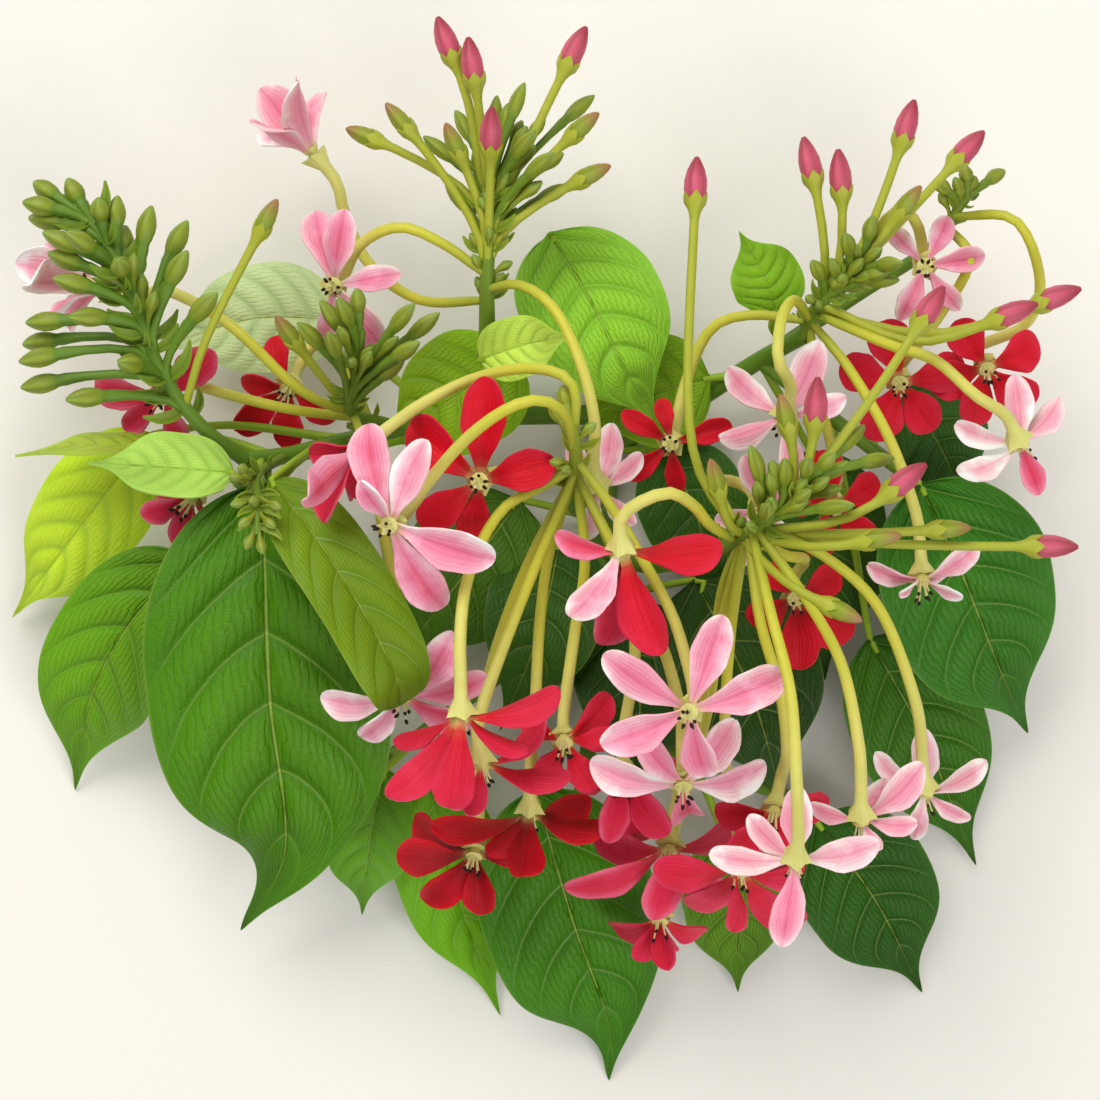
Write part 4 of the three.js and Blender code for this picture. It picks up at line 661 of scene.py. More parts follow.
def leaf_outline(share, shoulder):
    """A blade's half width: a round base, a broad middle and a narrow or blunt end past the shoulder."""
    base = math.sqrt(1 - (1 - share / ROUND_BASE) ** 2) if share < ROUND_BASE else 1
    end = 1 / (1 + math.exp((share - shoulder) / TAPER))
    past = max(0, share - (1 - ROUND_TIP)) / ROUND_TIP
    tip = math.sqrt(max(0, 1 - past ** 2))
    return max(base * end, 0.03) * max(tip, 0.2)


def vein_swell(u, v, shoulder):
    """How far the blade swells up between its side veins, from 0 on a vein to 1."""
    phase = (v - VEIN_RISE[0] * abs(u) - VEIN_RISE[1] * u * u) * VEINS
    near = abs(phase - round(phase)) * 2
    fade = smooth(0, 0.12, abs(u)) * (1 - abs(u) ** 4) * smooth(shoulder + 0.1, shoulder - 0.08, v)
    return math.sin(math.pi / 2 * near) * fade


def grow_blade(piece, midrib, form, settings, columns, tint, seed):
    """A leaf blade. form is its half width, where it looks at base and tip, its fold and its shoulder."""
    half_width, look_base, look_tip, fold, shoulder = form
    chance = random.Random(seed)
    rib = Line([at(p) for p in midrib])
    turn = math.radians(fold)
    swell = settings.relief / MILLIMETRE * (half_width / RELIEF_WIDTH) ** 1.4
    rows = 2 * columns
    spine = []
    for row in range(rows + 1):
        v = row / rows
        tangent = rib.tangent(v)
        normal = across_from(Vector(look_base).lerp(Vector(look_tip), v), tangent)
        spine.append((rib.point(v), normal, tangent.cross(normal), half_width * leaf_outline(v, shoulder)))
    waves = [chance.uniform(*ANY_PHASE) for _ in range(4)]

    def surface(u, v):
        middle, normal, side, reach = spine[round(v * rows)]
        ruffle = RUFFLE * math.sin(v * 15 + waves[0 if u < 0 else 1]) * abs(u) ** 3
        droop = DROOP * abs(u) ** 2.4
        lift = reach * (abs(u) * math.sin(turn) + ruffle - droop) + swell * vein_swell(u, v, shoulder)
        return middle + side * u * reach * math.cos(turn) + normal * lift

    def shade(u, v):
        mottle = math.sin(v * 9 + waves[2] + 2 * u) * 0.06 + math.sin(v * 5 - 3 * u + waves[3]) * 0.06
        return tint * (1 + mottle)

    piece.blade(columns, rows, settings.thickness / MILLIMETRE, surface, shade)


def grow_leaf(piece, stalk, midrib, form, settings, columns, hex_tint, seed):
    """A leaf: its stalk, thicker at the foot, which runs on a little way under its blade."""
    foot = at(midrib[0])
    line = Line([*stalk, foot, foot.lerp(at(midrib[1]), 0.12)])
    piece.tube(line, STALK_PROFILE, STALK_SIDES, plain(Vector(settings.stalk_colour)), material=1)
    grow_blade(piece, midrib, form, settings, columns, linear(hex_tint), seed)


# Flower spikes

# Kinds of bud: radius of the stalk, then distances back from the tip with the radius there
HEADS = {
    "young": (0.4, [(3.6, 0.5), (2.7, 0.8), (1.8, 1.1), (0.9, 0.8), (0.2, 0.3)]),
    "small": (0.5, [(7, 0.55), (5.6, 0.7), (4.8, 0.9), (3.6, 1.25), (2.4, 1.3), (1.2, 0.85), (0.3, 0.3)]),
    "green": (0.78, [(13, 0.85), (10.4, 1.0), (9, 1.12), (8.1, 1.02), (7.5, 1.1), (6.6, 1.4), (5.2, 1.66),
                     (3.8, 1.68), (2.4, 1.35), (1.2, 0.85), (0.4, 0.4), (0.1, 0.15)]),
    "tall": (0.85, [(12, 0.9), (9.6, 0.95), (8.2, 1.1), (7.6, 1.35), (6, 1.7), (4.2, 1.7), (2.4, 1.3),
                    (1, 0.72), (0.25, 0.25)]),
    "pink": (0.9, [(13, 0.9), (11, 1.1), (10, 1.5), (9.2, 1.75), (8.6, 1.9), (7, 2.2), (5, 2.15), (3, 1.65),
                   (1.5, 1.0), (0.4, 0.4)]),
}

# Calyxes that hold a bud: distances back from the tip with the radius there, and the height of their teeth
CALYXES = {
    "tall": ([(10.4, 0.95), (9.2, 1.15), (8.2, 1.5), (7.2, 1.85), (6.2, 1.98)], 0.8),
    "pink": ([(12.8, 0.95), (11.8, 1.1), (10.8, 1.45), (9.8, 1.95), (9, 2.2), (8.3, 2.36)], 0.9),
}

# Looks of the spikes: how full the green buds are, how pale the stem is, length of the bracts, number of
# bracts along the axis, number of very young buds and number of small buds between the others
SPIKE_LOOKS = {
    "spike_left": (1.12, 0.1, 8, 10, 4, 7),
    "spike_inner_left": (0.92, 0.14, 5, 6, 4, 4),
    "spike_top": (0.86, 0.16, 5.5, 12, 12, 26),
    "spike_top_right": (0.86, 0.16, 5, 12, 10, 12),
    "spike_right": (0.86, 0.18, 5, 12, 10, 12),
    "spike_middle": (0.86, 0.35, 5, 4, 4, 0),
    "spike_back_right": (0.86, 0.2, 4, 3, 3, 3),
    "spike_young": (1, 0.14, 5, 6, 3, 0),
}

BRACT_CELLS = (4, 6)
BRACT_THICKNESS = 0.3
AXIS_SIDES = 10
BUD_SIDES = {"young": 10, "small": 10, "green": 20, "tall": 20, "pink": 20}
PETALS_END = 8.8  # distance back from the tip at which a pink bud's petals end and its calyx begins


def five_waves(u, shift=0):
    """1 at five places around a tube and -1 between them."""
    return math.cos(5 * FULL_TURN * u + shift)


def grow_bract(piece, axis, share, out, length, tint):
    """A small narrow leaf that leaves an axis in a direction, as at the foot of a bud's stalk."""
    axis_line, radius = axis
    foot = axis_line.point(share) + out * radius * 0.5
    onward = axis_line.tangent(share)
    line = Arc(foot, foot + out * length * 0.5, foot + out * length * 0.8 + onward * length * 0.5)
    columns, rows = BRACT_CELLS
    spine = []
    for row in range(rows + 1):
        tangent = line.tangent(row / rows)
        normal = across_from(onward * 0.5 + Vector((0, 0, 1.2)), tangent)
        spine.append((line.point(row / rows), normal, tangent.cross(normal)))

    def surface(u, v):
        middle, normal, side = spine[round(v * rows)]
        reach = length * 0.15 * max(0.08, math.sin(math.pi * (0.1 + 0.9 * v) ** 0.8))
        return middle + side * u * reach + normal * abs(u) * reach * 0.6

    def shade(u, v):
        return tint * (0.8 + 0.35 * v + 0.15 * abs(u))

    piece.blade(columns, rows, BRACT_THICKNESS, surface, shade)


def root_on(axis, share, towards):
    """The place just inside an axis where a side stalk that leads towards a point starts."""
    line, radius = axis
    point = line.point(share)
    return point + across_from(towards - point, line.tangent(share)) * radius * 0.3


def bud_tint(kind, colours, length, shrink):
    """The tint of a bud: its stalk and its petals, with five seams over its head."""
    def tint(part, u):
        back = (1 - part) * length / shrink
        seam = 0.5 - 0.5 * five_waves(u)
        if kind == "pink":
            if back > PETALS_END:
                return colours["stalk"]
            return colours["bud_tip"].lerp(colours["bud"], smooth(0, 6, back)) * (1.12 - 0.35 * seam)
        if kind == "tall":
            shade = colours["bud_brown"].lerp(colours["green_bud"], smooth(0.5, 4.5, back))
            return shade.lerp(colours["stalk"], smooth(7, 9, back)) * (1 - 0.2 * seam * smooth(8, 6, back))
        shade = colours["green_tip"].lerp(colours["green_bud"], smooth(0, 3, back))
        return shade.lerp(colours["stem"], smooth(5.5, 8, back)) * (1 - 0.3 * seam * smooth(7, 5, back))

    return tint


def grow_calyx(piece, line, kind, shrink, colours):
    """The cup with five teeth that holds a bud."""
    rings, tooth = CALYXES[kind]
    profile = [(1 - shrink * back / line.length, radius) for back, radius in rings]

    def ridge(u, row):
        share = smooth(len(rings) - 4, len(rings) - 1, row)
        return 0, tooth * share * five_waves(u)

    stops = [(profile[-2][0], colours["stalk"]), (1, colours["calyx_tooth"])]
    piece.tube(line, profile, BUD_SIDES[kind], blended(stops), ridge=ridge)


def grow_bud(piece, axis, share, end, kind, colours, full=1, bend=None):
    """A bud on its stalk. Its line leaves the axis in a curve, or leads through a bend."""
    start = root_on(axis, share, end)
    stalk, head = HEADS[kind]
    if bend:
        line = Line([start, at(bend), end])
    else:
        line = Arc(start, start + axis[0].tangent(share) * (end - start).length * 0.25, end)
    length = line.length
    shrink = min(1, 0.8 * length / head[0][0])
    neck = 1 - shrink * head[0][0] / length
    steps = max(3, round(neck * length / 5))
    profile = [(neck * i / steps, stalk * full) for i in range(steps)]
    profile += [(1 - shrink * back / length, radius * full) for back, radius in head]
    bulge = 1 - shrink * 6 / length

    def ridge(u, row):
        part = profile[row][0]
        seam = -0.15 * five_waves(u, 2 * part)
        return seam * smooth(neck, bulge, part) * (1 - smooth(0.97, 1, part)), 0

    tint = bud_tint(kind, colours, length, shrink)
    piece.tube(line, profile, BUD_SIDES[kind], tint, ridge=ridge)
    if kind in CALYXES:
        grow_calyx(piece, line, kind, shrink, colours)


def grow_spike(piece, shoots, row, colours, chance):
    """A spike's axis with its buds and bracts. Very young and small buds stand between the others."""
    name, root, points, radius, buds = row
    full, pale, bract, bract_count, young_count, small_count = SPIKE_LOOKS[name]
    tips = [at(p) for p in points]
    line = Line([beside(shoots, root, tips[0], radius), *tips])
    axis = (line, radius)
    stem = colours["spike"].lerp(colours["tube"], pale)
    leafy = stem.lerp(colours["tube"], 0.1)
    colours = dict(colours, stem=stem, green_bud=stem.lerp(colours["tube"], 0.3))
    drawn = Line([joint(shoots, root), *line.points])
    piece.tube(drawn, even(24, radius, radius * 0.6), AXIS_SIDES, plain(stem))
    for kind, places in buds.items():
        for share, tip, *bend in places:
            end = at(tip)
            grow_bud(piece, axis, share, end, kind, colours, full if kind == "green" else 1, *bend)
            if kind in ("green", "young"):
                out = across_from(end - line.point(share), line.tangent(share))
                grow_bract(piece, axis, share, out, bract * chance.uniform(0.75, 1.2), leafy)
    for i in range(bract_count + young_count):
        share = chance.uniform(0.05, 0.95)
        tangent = line.tangent(share)
        out = across_from(Vector([chance.uniform(-1, 1) for _ in range(3)]), tangent)
        if i < bract_count:
            grow_bract(piece, axis, share, out, bract * chance.uniform(0.6, 1), leafy)
        else:
            end = line.point(share) + out * chance.uniform(3, 5.5) + tangent * chance.uniform(3, 7)
            grow_bud(piece, axis, share, end, "young", colours)
    for _ in range(small_count):
        first, second = chance.sample(buds["green"], 2)
        share = (first[0] + second[0]) / 2
        end = at(first[1]).lerp(at(second[1]), chance.uniform(0.3, 0.7))
        end = end.lerp(line.point(share), chance.uniform(0.15, 0.45))
        grow_bud(piece, axis, share, end, "small", colours)
    return axis


TUBE_SIDES = 10  # of a floral tube
TUBE_RADIUS = 1.15
TUBE_FLARE = 1.15  # what its mouth adds to that
MOUTH_LENGTH = 7  # the last stretch, which is in line with the bloom


def grow_floral_tube(piece, axis, bloom, colours):
    """The long tube behind a bloom, which widens at its mouth into five lobes."""
    centre, look, share, passes = bloom[2], bloom[3], bloom[6], bloom[7]
    end = at(centre)
    bends = [at(p) for p in passes]
    mouth = end - Vector(look).normalized() * MOUTH_LENGTH
    line = Line([root_on(axis, share, bends[0]), *bends, mouth, end])
    steps = max(14, round(line.length / 3))
    profile = []
    for along, radius in even(steps, 0.85 * TUBE_RADIUS, 1.1 * TUBE_RADIUS):
        back = (1 - along) * line.length
        radius += TUBE_FLARE * smooth(3.6, 0.8, back) ** 1.2 - 0.2 * smooth(0.1, 0, along)
        profile.append((along, radius))

    def ridge(u, row):
        lobe = abs(math.cos(2.5 * FULL_TURN * u)) ** 1.5
        return (0.9 * lobe, 0.5 * lobe) if row == steps else (0, 0)

    stops = [(0, colours["tube_root"]), (0.35, colours["tube"]), (0.8, colours["tube_pale"])]
    piece.tube(line, profile, TUBE_SIDES, blended([*stops, (1, colours["calyx_pale"])]), ridge=ridge)


# Blooms

TIP_HANG = 0.8  # how far the tip of a petal hangs down
PETAL_CELLS = (10, 14)
PETAL_SHARE = 0.268  # half width of an old petal as a share of its length
SLIMMING = 0.06  # by how much that is smaller in a fresh petal
PETAL_SPREAD = math.radians(45)  # petals closer than this move apart
STAMENS = 6


def aged(colours, age):
    """A petal's colour by its age, from deep red at 0 to nearly white at 5."""
    age = min(len(colours) - 1.001, max(0, age))
    return colours[int(age)].lerp(colours[int(age) + 1], age % 1)


def petal_outline(v, peak):
    """Narrow at the foot, broadest at the peak and round at the tip."""
    rise = 0.17 + 0.83 * smooth(0, peak, v)
    end = math.sqrt(max(0, 1 - max(0, (v - peak) / (1 - peak)) ** 2.3))
    return max(0.04, rise * end)


def petal_tips(row):
    """The petal tips of a bloom. Petals that would stand too close move apart in height."""
    centre, tips = row[2], row[4]
    heart = at(centre)
    rises = [rise for _, _, rise in tips]

    def tip(i):
        return at((tips[i][0], tips[i][1], centre[2] + rises[i]))

    for _ in range(24):
        for i in range(len(tips)):
            for j in range(i + 1, len(tips)):
                if (tip(i) - heart).angle(tip(j) - heart) < PETAL_SPREAD:
                    push = -0.5 if rises[i] < rises[j] else 0.5
                    rises[i] += push
                    rises[j] -= push
    return [tip(i) for i in range(len(tips))]


def closer_at_tip(share):
    """An even share turned into one whose rows lie closer together toward the tip."""
    return 1 - (1 - share) ** 1.6


def grow_petal(piece, foot, tip, facing, age, settings, colours, full, chance):
    """A petal from its foot to its tip, bent and creased by chance. Old petals are the broadest."""
    along = tip - foot
    length = along.length
    fresh = smooth(1.6, 3.2, age)
    width = min(settings.petal_width / MILLIMETRE, length * (PETAL_SHARE - SLIMMING * fresh) * full)
    peak = 0.62 - 0.05 * fresh
    along.normalize()
    look = across_from(facing, along)
    eye = Vector((0, 0, -1 if facing.z < 0 else 1))
    eyeward = eye - eye.project(along)
    cup = chance.uniform(-0.25, 0.3)
    crease = chance.uniform(0.12, 0.5)
    curl = chance.uniform(-0.1, 0.08)
    twist = chance.uniform(-0.4, 0.4)
    wave = chance.uniform(*ANY_PHASE)
    skew = chance.uniform(-0.08, 0.08)
    bias = chance.uniform(-0.45, 0.45)

    def surface(u, w):
        v = closer_at_tip(w)
        flat = (look + eyeward * 1.3 * v).normalized()
        side = (along.cross(flat) + flat * twist * v).normalized()
        reach = width * petal_outline(v, peak + skew * (1 if u > 0 else -1))
        reach *= 1 + 0.03 * math.sin(19 * v + (1 if u > 0 else 3) * wave)
        middle = foot + along * v * length + look * 0.35 * v * (1 - v) * length
        middle.z -= TIP_HANG * v ** 3
        lift = cup * reach * u * u + crease * reach * (math.sqrt(u * u + 0.02) - 0.14)
        lift += 0.1 * reach * math.sin(8 * v + wave) * u * abs(u)
        lift += curl * length * v ** 3
        return middle + side * u * reach + flat * lift

    def tint(u, w):
        v = closer_at_tip(w)
        edge = smooth(0.4, 1, abs(u)) * smooth(0.1, 0.4, v)
        middle = math.exp(-(u / 0.3) ** 2)
        pale = 0.9 * edge - 0.6 * middle + 0.5 * smooth(0.5, 0, v) + 0.8 * smooth(0.72, 1, v) + bias * u
        # Old petals have pinker edges and tip, and are darker toward the foot, which is painted shade where
        # the petals overlap.
        deep = 0.4 * edge - 0.5 * smooth(0.55, 0, v) + 0.2 * smooth(0.8, 1, v) + 0.3 * bias * u
        shade = aged(colours["petals"], age + fresh * pale + (1 - fresh) * deep)
        return shade.lerp(colours["throat"], 0.8 * smooth(0.13, 0.02, v))

    piece.blade(*PETAL_CELLS, settings.petal_thickness / MILLIMETRE, surface, tint)


# Blooms with slender or full petals: their width as a share of the usual one
FIGURES = {
    "bloom_middle_red": 0.72, "bloom_lower_red": 0.68, "bloom_lower_red_second": 0.8,
    "bloom_back_right_red": 1.35, "bloom_behind_right_red": 1.35, "bloom_top_left_half_open": 1.5,
    "bloom_far_left_pale": 1.3, "bloom_behind_right_spike": 1.25, "bloom_right_dark": 1.3,
    "bloom_right_hidden_red": 1.3,
}


def grow_stamens(piece, mouth, facing, colours, chance):
    """The thin threads in a bloom's throat, each with its dark head."""
    across = across_from(Vector((0.3, 0.9, 0.1)), facing)
    other = facing.cross(across)
    for i in range(STAMENS):
        turn = math.radians(360 / STAMENS * i + chance.uniform(-20, 20))
        out = across * math.cos(turn) + other * math.sin(turn)
        reach = chance.uniform(2.4, 4.2)
        foot = mouth + out * 0.7 - facing * 0.3
        knob = mouth + out * 1.5 + facing * reach
        thread = Arc(foot, foot + facing * 1.5, knob)
        piece.tube(thread, even(4, 0.2, 0.16), 4, plain(colours["filament"]), material=1)
        lean = (facing * 0.7 + out * chance.uniform(0.1, 0.9)) * 0.65
        head = Line([knob - lean, knob + lean])
        profile = [(0, 0.12), (0.25, 0.36), (0.6, 0.38), (1, 0.12)]
        piece.tube(head, profile, 5, plain(colours["anther"]), material=1)


def grow_bloom(piece, row, ages, settings, colours, seed):
    """A bloom: the ring in its throat, its petals and its stamens."""
    chance = random.Random(seed)
    heart = at(row[2])
    facing = Vector(row[3]).normalized()
    start, mouth = heart + facing * 0.3, heart + facing * 1.7
    ring = [(0, 1.2), (0.5, 1.35), (1, 1.75)]
    piece.tube(Line([start, mouth]), ring, 10, plain(colours["throat"]), material=1)
    middle = start.lerp(mouth, 0.5)
    full = FIGURES.get(row[0], 1)
    for tip, age in zip(petal_tips(row), ages):
        foot = middle + across_from(tip - middle, facing)
        age += chance.uniform(-0.12, 0.12)
        grow_petal(piece, foot, tip, facing, age, settings, colours, full, chance)
    grow_stamens(piece, mouth, facing, colours, chance)


# Looks

def stem_look():
    """Fresh green skin with faint ribs along it."""
    look = Look("fresh_stem")
    u, v = look.along()
    mottle = look.noise(350.0, 3.0)
    grain = look.node("ShaderNodeCombineXYZ", None, {"X": u * 14.0, "Y": v * 3.0})[0]
    rib = look.noise(1.0, 2.0, grain)
    deep = look.mix(1.0, look.tint(), (0.68, 0.78, 0.45, 1), "MULTIPLY")
    shade = look.mix((mottle - 0.4) * 0.6 + (rib - 0.4) * 0.8, look.tint(), deep)
    return look.surface(Base_Color=shade, Roughness=0.38 + mottle * 0.16, Subsurface_Weight=0.08,
                        Subsurface_Scale=0.0015, Specular_IOR_Level=0.28,
                        Normal=look.bump(look.noise(1400.0, 2.0) + rib, 0.2, 0.0003))


def petal_look():
    """A petal with fine streaks and veins along it and pale washes."""
    look = Look("petal")
    u, v = look.along()
    grain = look.node("ShaderNodeCombineXYZ", None, {"X": u * 26.0, "Y": v * 1.6})[0]
    streak = look.noise(1.0, 3.0, grain)
    wash = look.noise(130.0, 3.0)
    fleck = look.noise(430.0, 2.0).rise(0.57, 0.72)
    vein = 1 - ((u + (wash - 0.5) * 0.06) * 9.0).to_whole().rise(0.0, 0.3)
    crease = 1 - abs(u * 2 - 1).rise(0.0, 0.08)
    line = (vein * 0.16 + crease * 0.3) * (1 - v.rise(0.62, 0.97))
    deep = look.mix(1.0, look.tint(), (0.8, 0.4, 0.52, 1), "MULTIPLY")
    pale = look.mix(1.0, look.tint(), (1.12, 1.7, 1.5, 1), "MULTIPLY")
    # Darker along the streaks, the veins and the crease down the middle; the darkening of the crease is
    # painted shade in the fold.
    shade = look.mix((streak - 0.4) * 1.4 + line, look.tint(), deep)
    shade = look.mix(wash.rise(0.48, 0.66) * 0.55, shade, pale)
    shade = look.mix(fleck * 0.2, shade, deep)
    shade = look.mix(1.0, shade, (0.97, 0.92, 0.92, 1), "DARKEN")
    return look.surface(Base_Color=shade, Roughness=0.42 + streak * 0.16, Subsurface_Weight=0.08,
                        Subsurface_Scale=0.002, Specular_IOR_Level=0.2,
                        Normal=look.bump(streak - line * 1.5, 0.45, 0.0006))


def leaf_look(name, depth, reach):
    """A leaf blade. depth is that of its net of veins, reach the share of its length with side veins."""
    look = Look(name)
    u, v = look.along()
    out = abs(u * 2 - 1)
    warp = look.noise(90.0, 2.0)
    phase = (v - out * VEIN_RISE[0] - out * out * VEIN_RISE[1]) * VEINS + (warp - 0.5) * 0.1
    near = phase.to_whole()
    inside = (1 - out * out * out) * (1 - v.rise(reach - 0.12, reach + 0.06))
    groove = (1 - near.rise(0.0, 0.2)) * inside
    line = (1 - near.rise(0.0, 0.035)) * inside
    ladder = (out * 13.0 + phase.whole() * 0.37 + (warp - 0.5) * 2.4).to_whole()
    rung = (1 - ladder.rise(0.0, 0.28)) * (1 - out.rise(0.85, 1.0)) * near.rise(0.0, 0.2)
    cells = {"Vector": look.place(), "Scale": 520.0}
    net = 1 - look.node("ShaderNodeTexVoronoi", {"feature": "DISTANCE_TO_EDGE"}, cells)[0].rise(0.0, 0.12)
    midrib = 1 - out.rise(0.006, 0.026)
    margin = out.rise(0.97, 1.0)
    patch = look.noise(60.0, 3.0)
    deep = look.mix(1.0, look.tint(), (0.5, 0.62, 0.35, 1), "MULTIPLY")
    light = look.mix(1.0, look.tint(), (1.5, 1.28, 1.2, 1), "MULTIPLY")
    shade = look.mix((patch - 0.3) * 0.9, look.tint(), deep)
    # Painted highlight: the blade is lighter toward the middle of each swell between the side veins.
    shade = look.mix(near * 0.55 * inside, shade, light)
    # Painted shade: the grooves beside the side veins are darkened, and the fine cross veins with them.
    shade = look.mix(groove * 0.4 + rung * 0.15, shade, deep)
    shade = look.mix(net * 0.1, shade, light)
    yellow = look.mix(0.55, look.tint(), (0.5, 0.6, 0.12, 1))
    shade = look.mix(line * 0.4 + midrib * 0.65 + margin * 0.3, shade, yellow)
    height = 1 - groove * 0.8 - midrib * 0.9 - rung * 0.3 - net * 0.1
    return look.surface(Base_Color=shade, Roughness=0.42 + patch * 0.14 - groove * 0.05,
                        Subsurface_Weight=0.04, Subsurface_Scale=0.0015, Specular_IOR_Level=0.24,
                        Normal=look.bump(height, 0.7, depth))


def table_look(colour):
    """A plain pale surface."""
    look = Look("pale_surface")
    grain = look.noise(60.0, 3.0)
    shade = look.mix(grain * 0.03, (*colour, 1), (0.8, 0.78, 0.72, 1))
    return look.surface(Base_Color=shade, Roughness=0.85 + grain * 0.05)


# Settings

def colour_property(name, description, default):
    return FloatVectorProperty(name=name, description=description, subtype="COLOR", size=3, min=0, max=1,
                               default=tuple(linear(default)))


def length_property(name, description, default, least, most):
    return FloatProperty(name=name, description=description, unit="LENGTH", precision=5,
                         default=default, min=least, max=most)


class CreeperLeafSettings(bpy.types.PropertyGroup):
    """Sizes and colours of the vine and its leaves"""

    thickness: length_property("Thickness", "Thickness of a leaf blade", 0.0005, 0.0002, 0.0008)
    relief: length_property("Relief", "Swell of a leaf blade between its veins", 0.0009, 0, 0.002)
    fineness: IntProperty(name="Fineness", description="Cells across a leaf blade",
                          default=32, min=8, max=64)
    vine_colour: colour_property("Vine", "Colour of the old shoots", "668a26")
    stalk_colour: colour_property("Leaf stalk", "Colour of the leaf stalks", "94b32c")


class CreeperFlowerSettings(bpy.types.PropertyGroup):
    """Sizes and colours of the spikes, buds and blooms"""

    petal_width: length_property("Petal width", "Largest half width of a petal", 0.0043, 0.002, 0.006)
    petal_thickness: length_property("Petal thickness", "Thickness of a petal", 0.0004, 0.0002, 0.0007)
    oldest: colour_property("Oldest petal", "Petals at their deepest", "8c0512")
    old: colour_property("Old petal", "Petals on their second day", "d40a20")
    middle: colour_property("Rose petal", "Petals that turn from pink to red", "da2a4e")
    young: colour_property("Pink petal", "Petals on their first day", "ed87a6")
    fresh: colour_property("Pale petal", "Petals that have just turned pink", "f6b2c3")
    newest: colour_property("Newest petal", "Petals that have just opened", "fdeaea")
    tube: colour_property("Floral tube", "Colour of the floral tubes", "cdc840")
    spike: colour_property("Spike", "Colour of the flower spikes", "4a7820")


class CreeperStageSettings(bpy.types.PropertyGroup):
    """The surface, the light and the camera"""

    surface_colour: colour_property("Surface", "Colour of the surface", "eeebe4")
    eye_height: length_property("Eye height", "Height of the camera above the surface",
                                EYE_HEIGHT * MILLIMETRE, 0.3, 2)
    lens: FloatProperty(name="Lens", description="Focal length", default=90, min=20, max=200, unit="CAMERA")
    softness: length_property("Lamp size", "Width of each lamp", 0.9, 0.1, 3)


PETAL_AGES = ("oldest", "old", "middle", "young", "fresh", "newest")


def flower_colours(settings):
    """The colours of the settings, and those that are mixed from them or always the same."""
    tube = Vector(settings.tube)
    spike = Vector(settings.spike)
    return {
        "petals": [Vector(getattr(settings, age)) for age in PETAL_AGES],
        "stalk": tube.lerp(spike, 0.4),
        "calyx_pale": tube.lerp(linear("e6e2a0"), 0.6),
        "tube": tube,
        "tube_pale": tube.lerp(linear("e6dc96"), 0.45),
        "tube_root": tube.lerp(spike, 0.45),
        "spike": spike,
        "calyx_tooth": tube.lerp(spike, 0.75),
        "green_tip": linear("90a848"),
        "bud": linear("ca5870"),
        "bud_tip": linear("a43c4c"),
        "bud_brown": linear("a87c50"),
        "throat": linear("dfd98a"),
        "filament": linear("ece2a8"),
        "anther": linear("2a1610"),
    }


# Operators

class CREEPER_OT_vine(bpy.types.Operator):
    """Make the shoots of the vine and the leaves that are hidden inside the spray"""

    bl_idname = "creeper.vine"
    bl_label = "Vine"

    def execute(self, context):
        settings = context.scene.creeper_leaves
        stems = Piece("vine_shoots", stem_look())
        for name, (line, first, last) in shoot_lines().items():
            if name == "main":
                first = last = MAIN_HEIGHT  # round here, so that it still lies on the surface
            stems.tube(line, even(14, first, last), VINE_SIDES, plain(Vector(settings.vine_colour)))
        stems.finish("vine", "vine")
        hidden = Piece("hidden_leaves", leaf_look("hidden_blade", 0.0006, VISIBLE_NET), stem_look())
        for i, (root, midrib, half_width, look) in enumerate(INNER_LEAVES):
            form = (half_width, look, look, INNER_FOLD, LEAF_SHOULDER)
            cells = settings.fineness // 2
            grow_leaf(hidden, [at(root)], midrib, form, settings, cells, INNER_TINTS[i], INNER_SEED + i)
        hidden.finish("leaf", "vine")
        return {"FINISHED"}


class CREEPER_OT_leaves(bpy.types.Operator):
    """Make every outer leaf with its stalk"""

    bl_idname = "creeper.leaves"
    bl_label = "Leaves"

    def execute(self, context):
        settings = context.scene.creeper_leaves
        shoots = shoot_lines()
        broad = leaf_look("leaf_blade", 0.0009, VISIBLE_NET)
        small = leaf_look("small_leaf_blade", 0.0003, 0.9)
        stem = stem_look()
        for i, row in enumerate(LEAVES):
            name, slot, root, bends, midrib, half_width, look_base, look_tip, fold, *blunt = row
            blade = broad if slot == "leaf" and half_width > BROAD_LEAF else small
            piece = Piece("fine_" + name, blade, stem)
            bends = [at(p) for p in bends]
            stalk = [joint(shoots, root), beside(shoots, root, bends[0], 1), *bends]
            form = (half_width, look_base, look_tip, fold, blunt[0] if blunt else LEAF_SHOULDER)
            cells = settings.fineness if half_width < HUGE_LEAF else 2 * settings.fineness
            grow_leaf(piece, stalk, midrib, form, settings, cells, LEAF_TINTS[i], i)
            piece.finish(slot, name)
        return {"FINISHED"}


class CREEPER_OT_spikes(bpy.types.Operator):
    """Make every flower spike with its buds and the floral tubes that grow from it"""

    bl_idname = "creeper.spikes"
    bl_label = "Flower spikes"

    def execute(self, context):
        colours = flower_colours(context.scene.creeper_flowers)
        shoots = shoot_lines()
        surface = stem_look()
        chance = random.Random(SPIKE_SEED)
        for row in SPIKES:
            piece = Piece("fine_" + row[0], surface)
            axis = grow_spike(piece, shoots, row, colours, chance)
            for bloom in BLOOMS:
                if bloom[5] == row[0]:
                    grow_floral_tube(piece, axis, bloom, colours)
            piece.finish("spike", row[0])
        return {"FINISHED"}


class CREEPER_OT_blooms(bpy.types.Operator):
    """Make every bloom with its petals and stamens"""

    bl_idname = "creeper.blooms"
    bl_label = "Blooms"

    def execute(self, context):
        settings = context.scene.creeper_flowers
        colours = flower_colours(settings)
        petal, stem = petal_look(), stem_look()
        pieces = {}
        for i, row in enumerate(BLOOMS):
            name, slot = row[:2]
            if name not in pieces:
                pieces[name] = (slot, Piece("fine_" + name, petal, stem))
            ages = AGES[i] if isinstance(AGES[i], list) else [AGES[i]] * 5
            grow_bloom(pieces[name][1], row, ages, settings, colours, BLOOM_SEED + i)
        for name, (slot, piece) in pieces.items():
            piece.finish(slot, name)
        return {"FINISHED"}


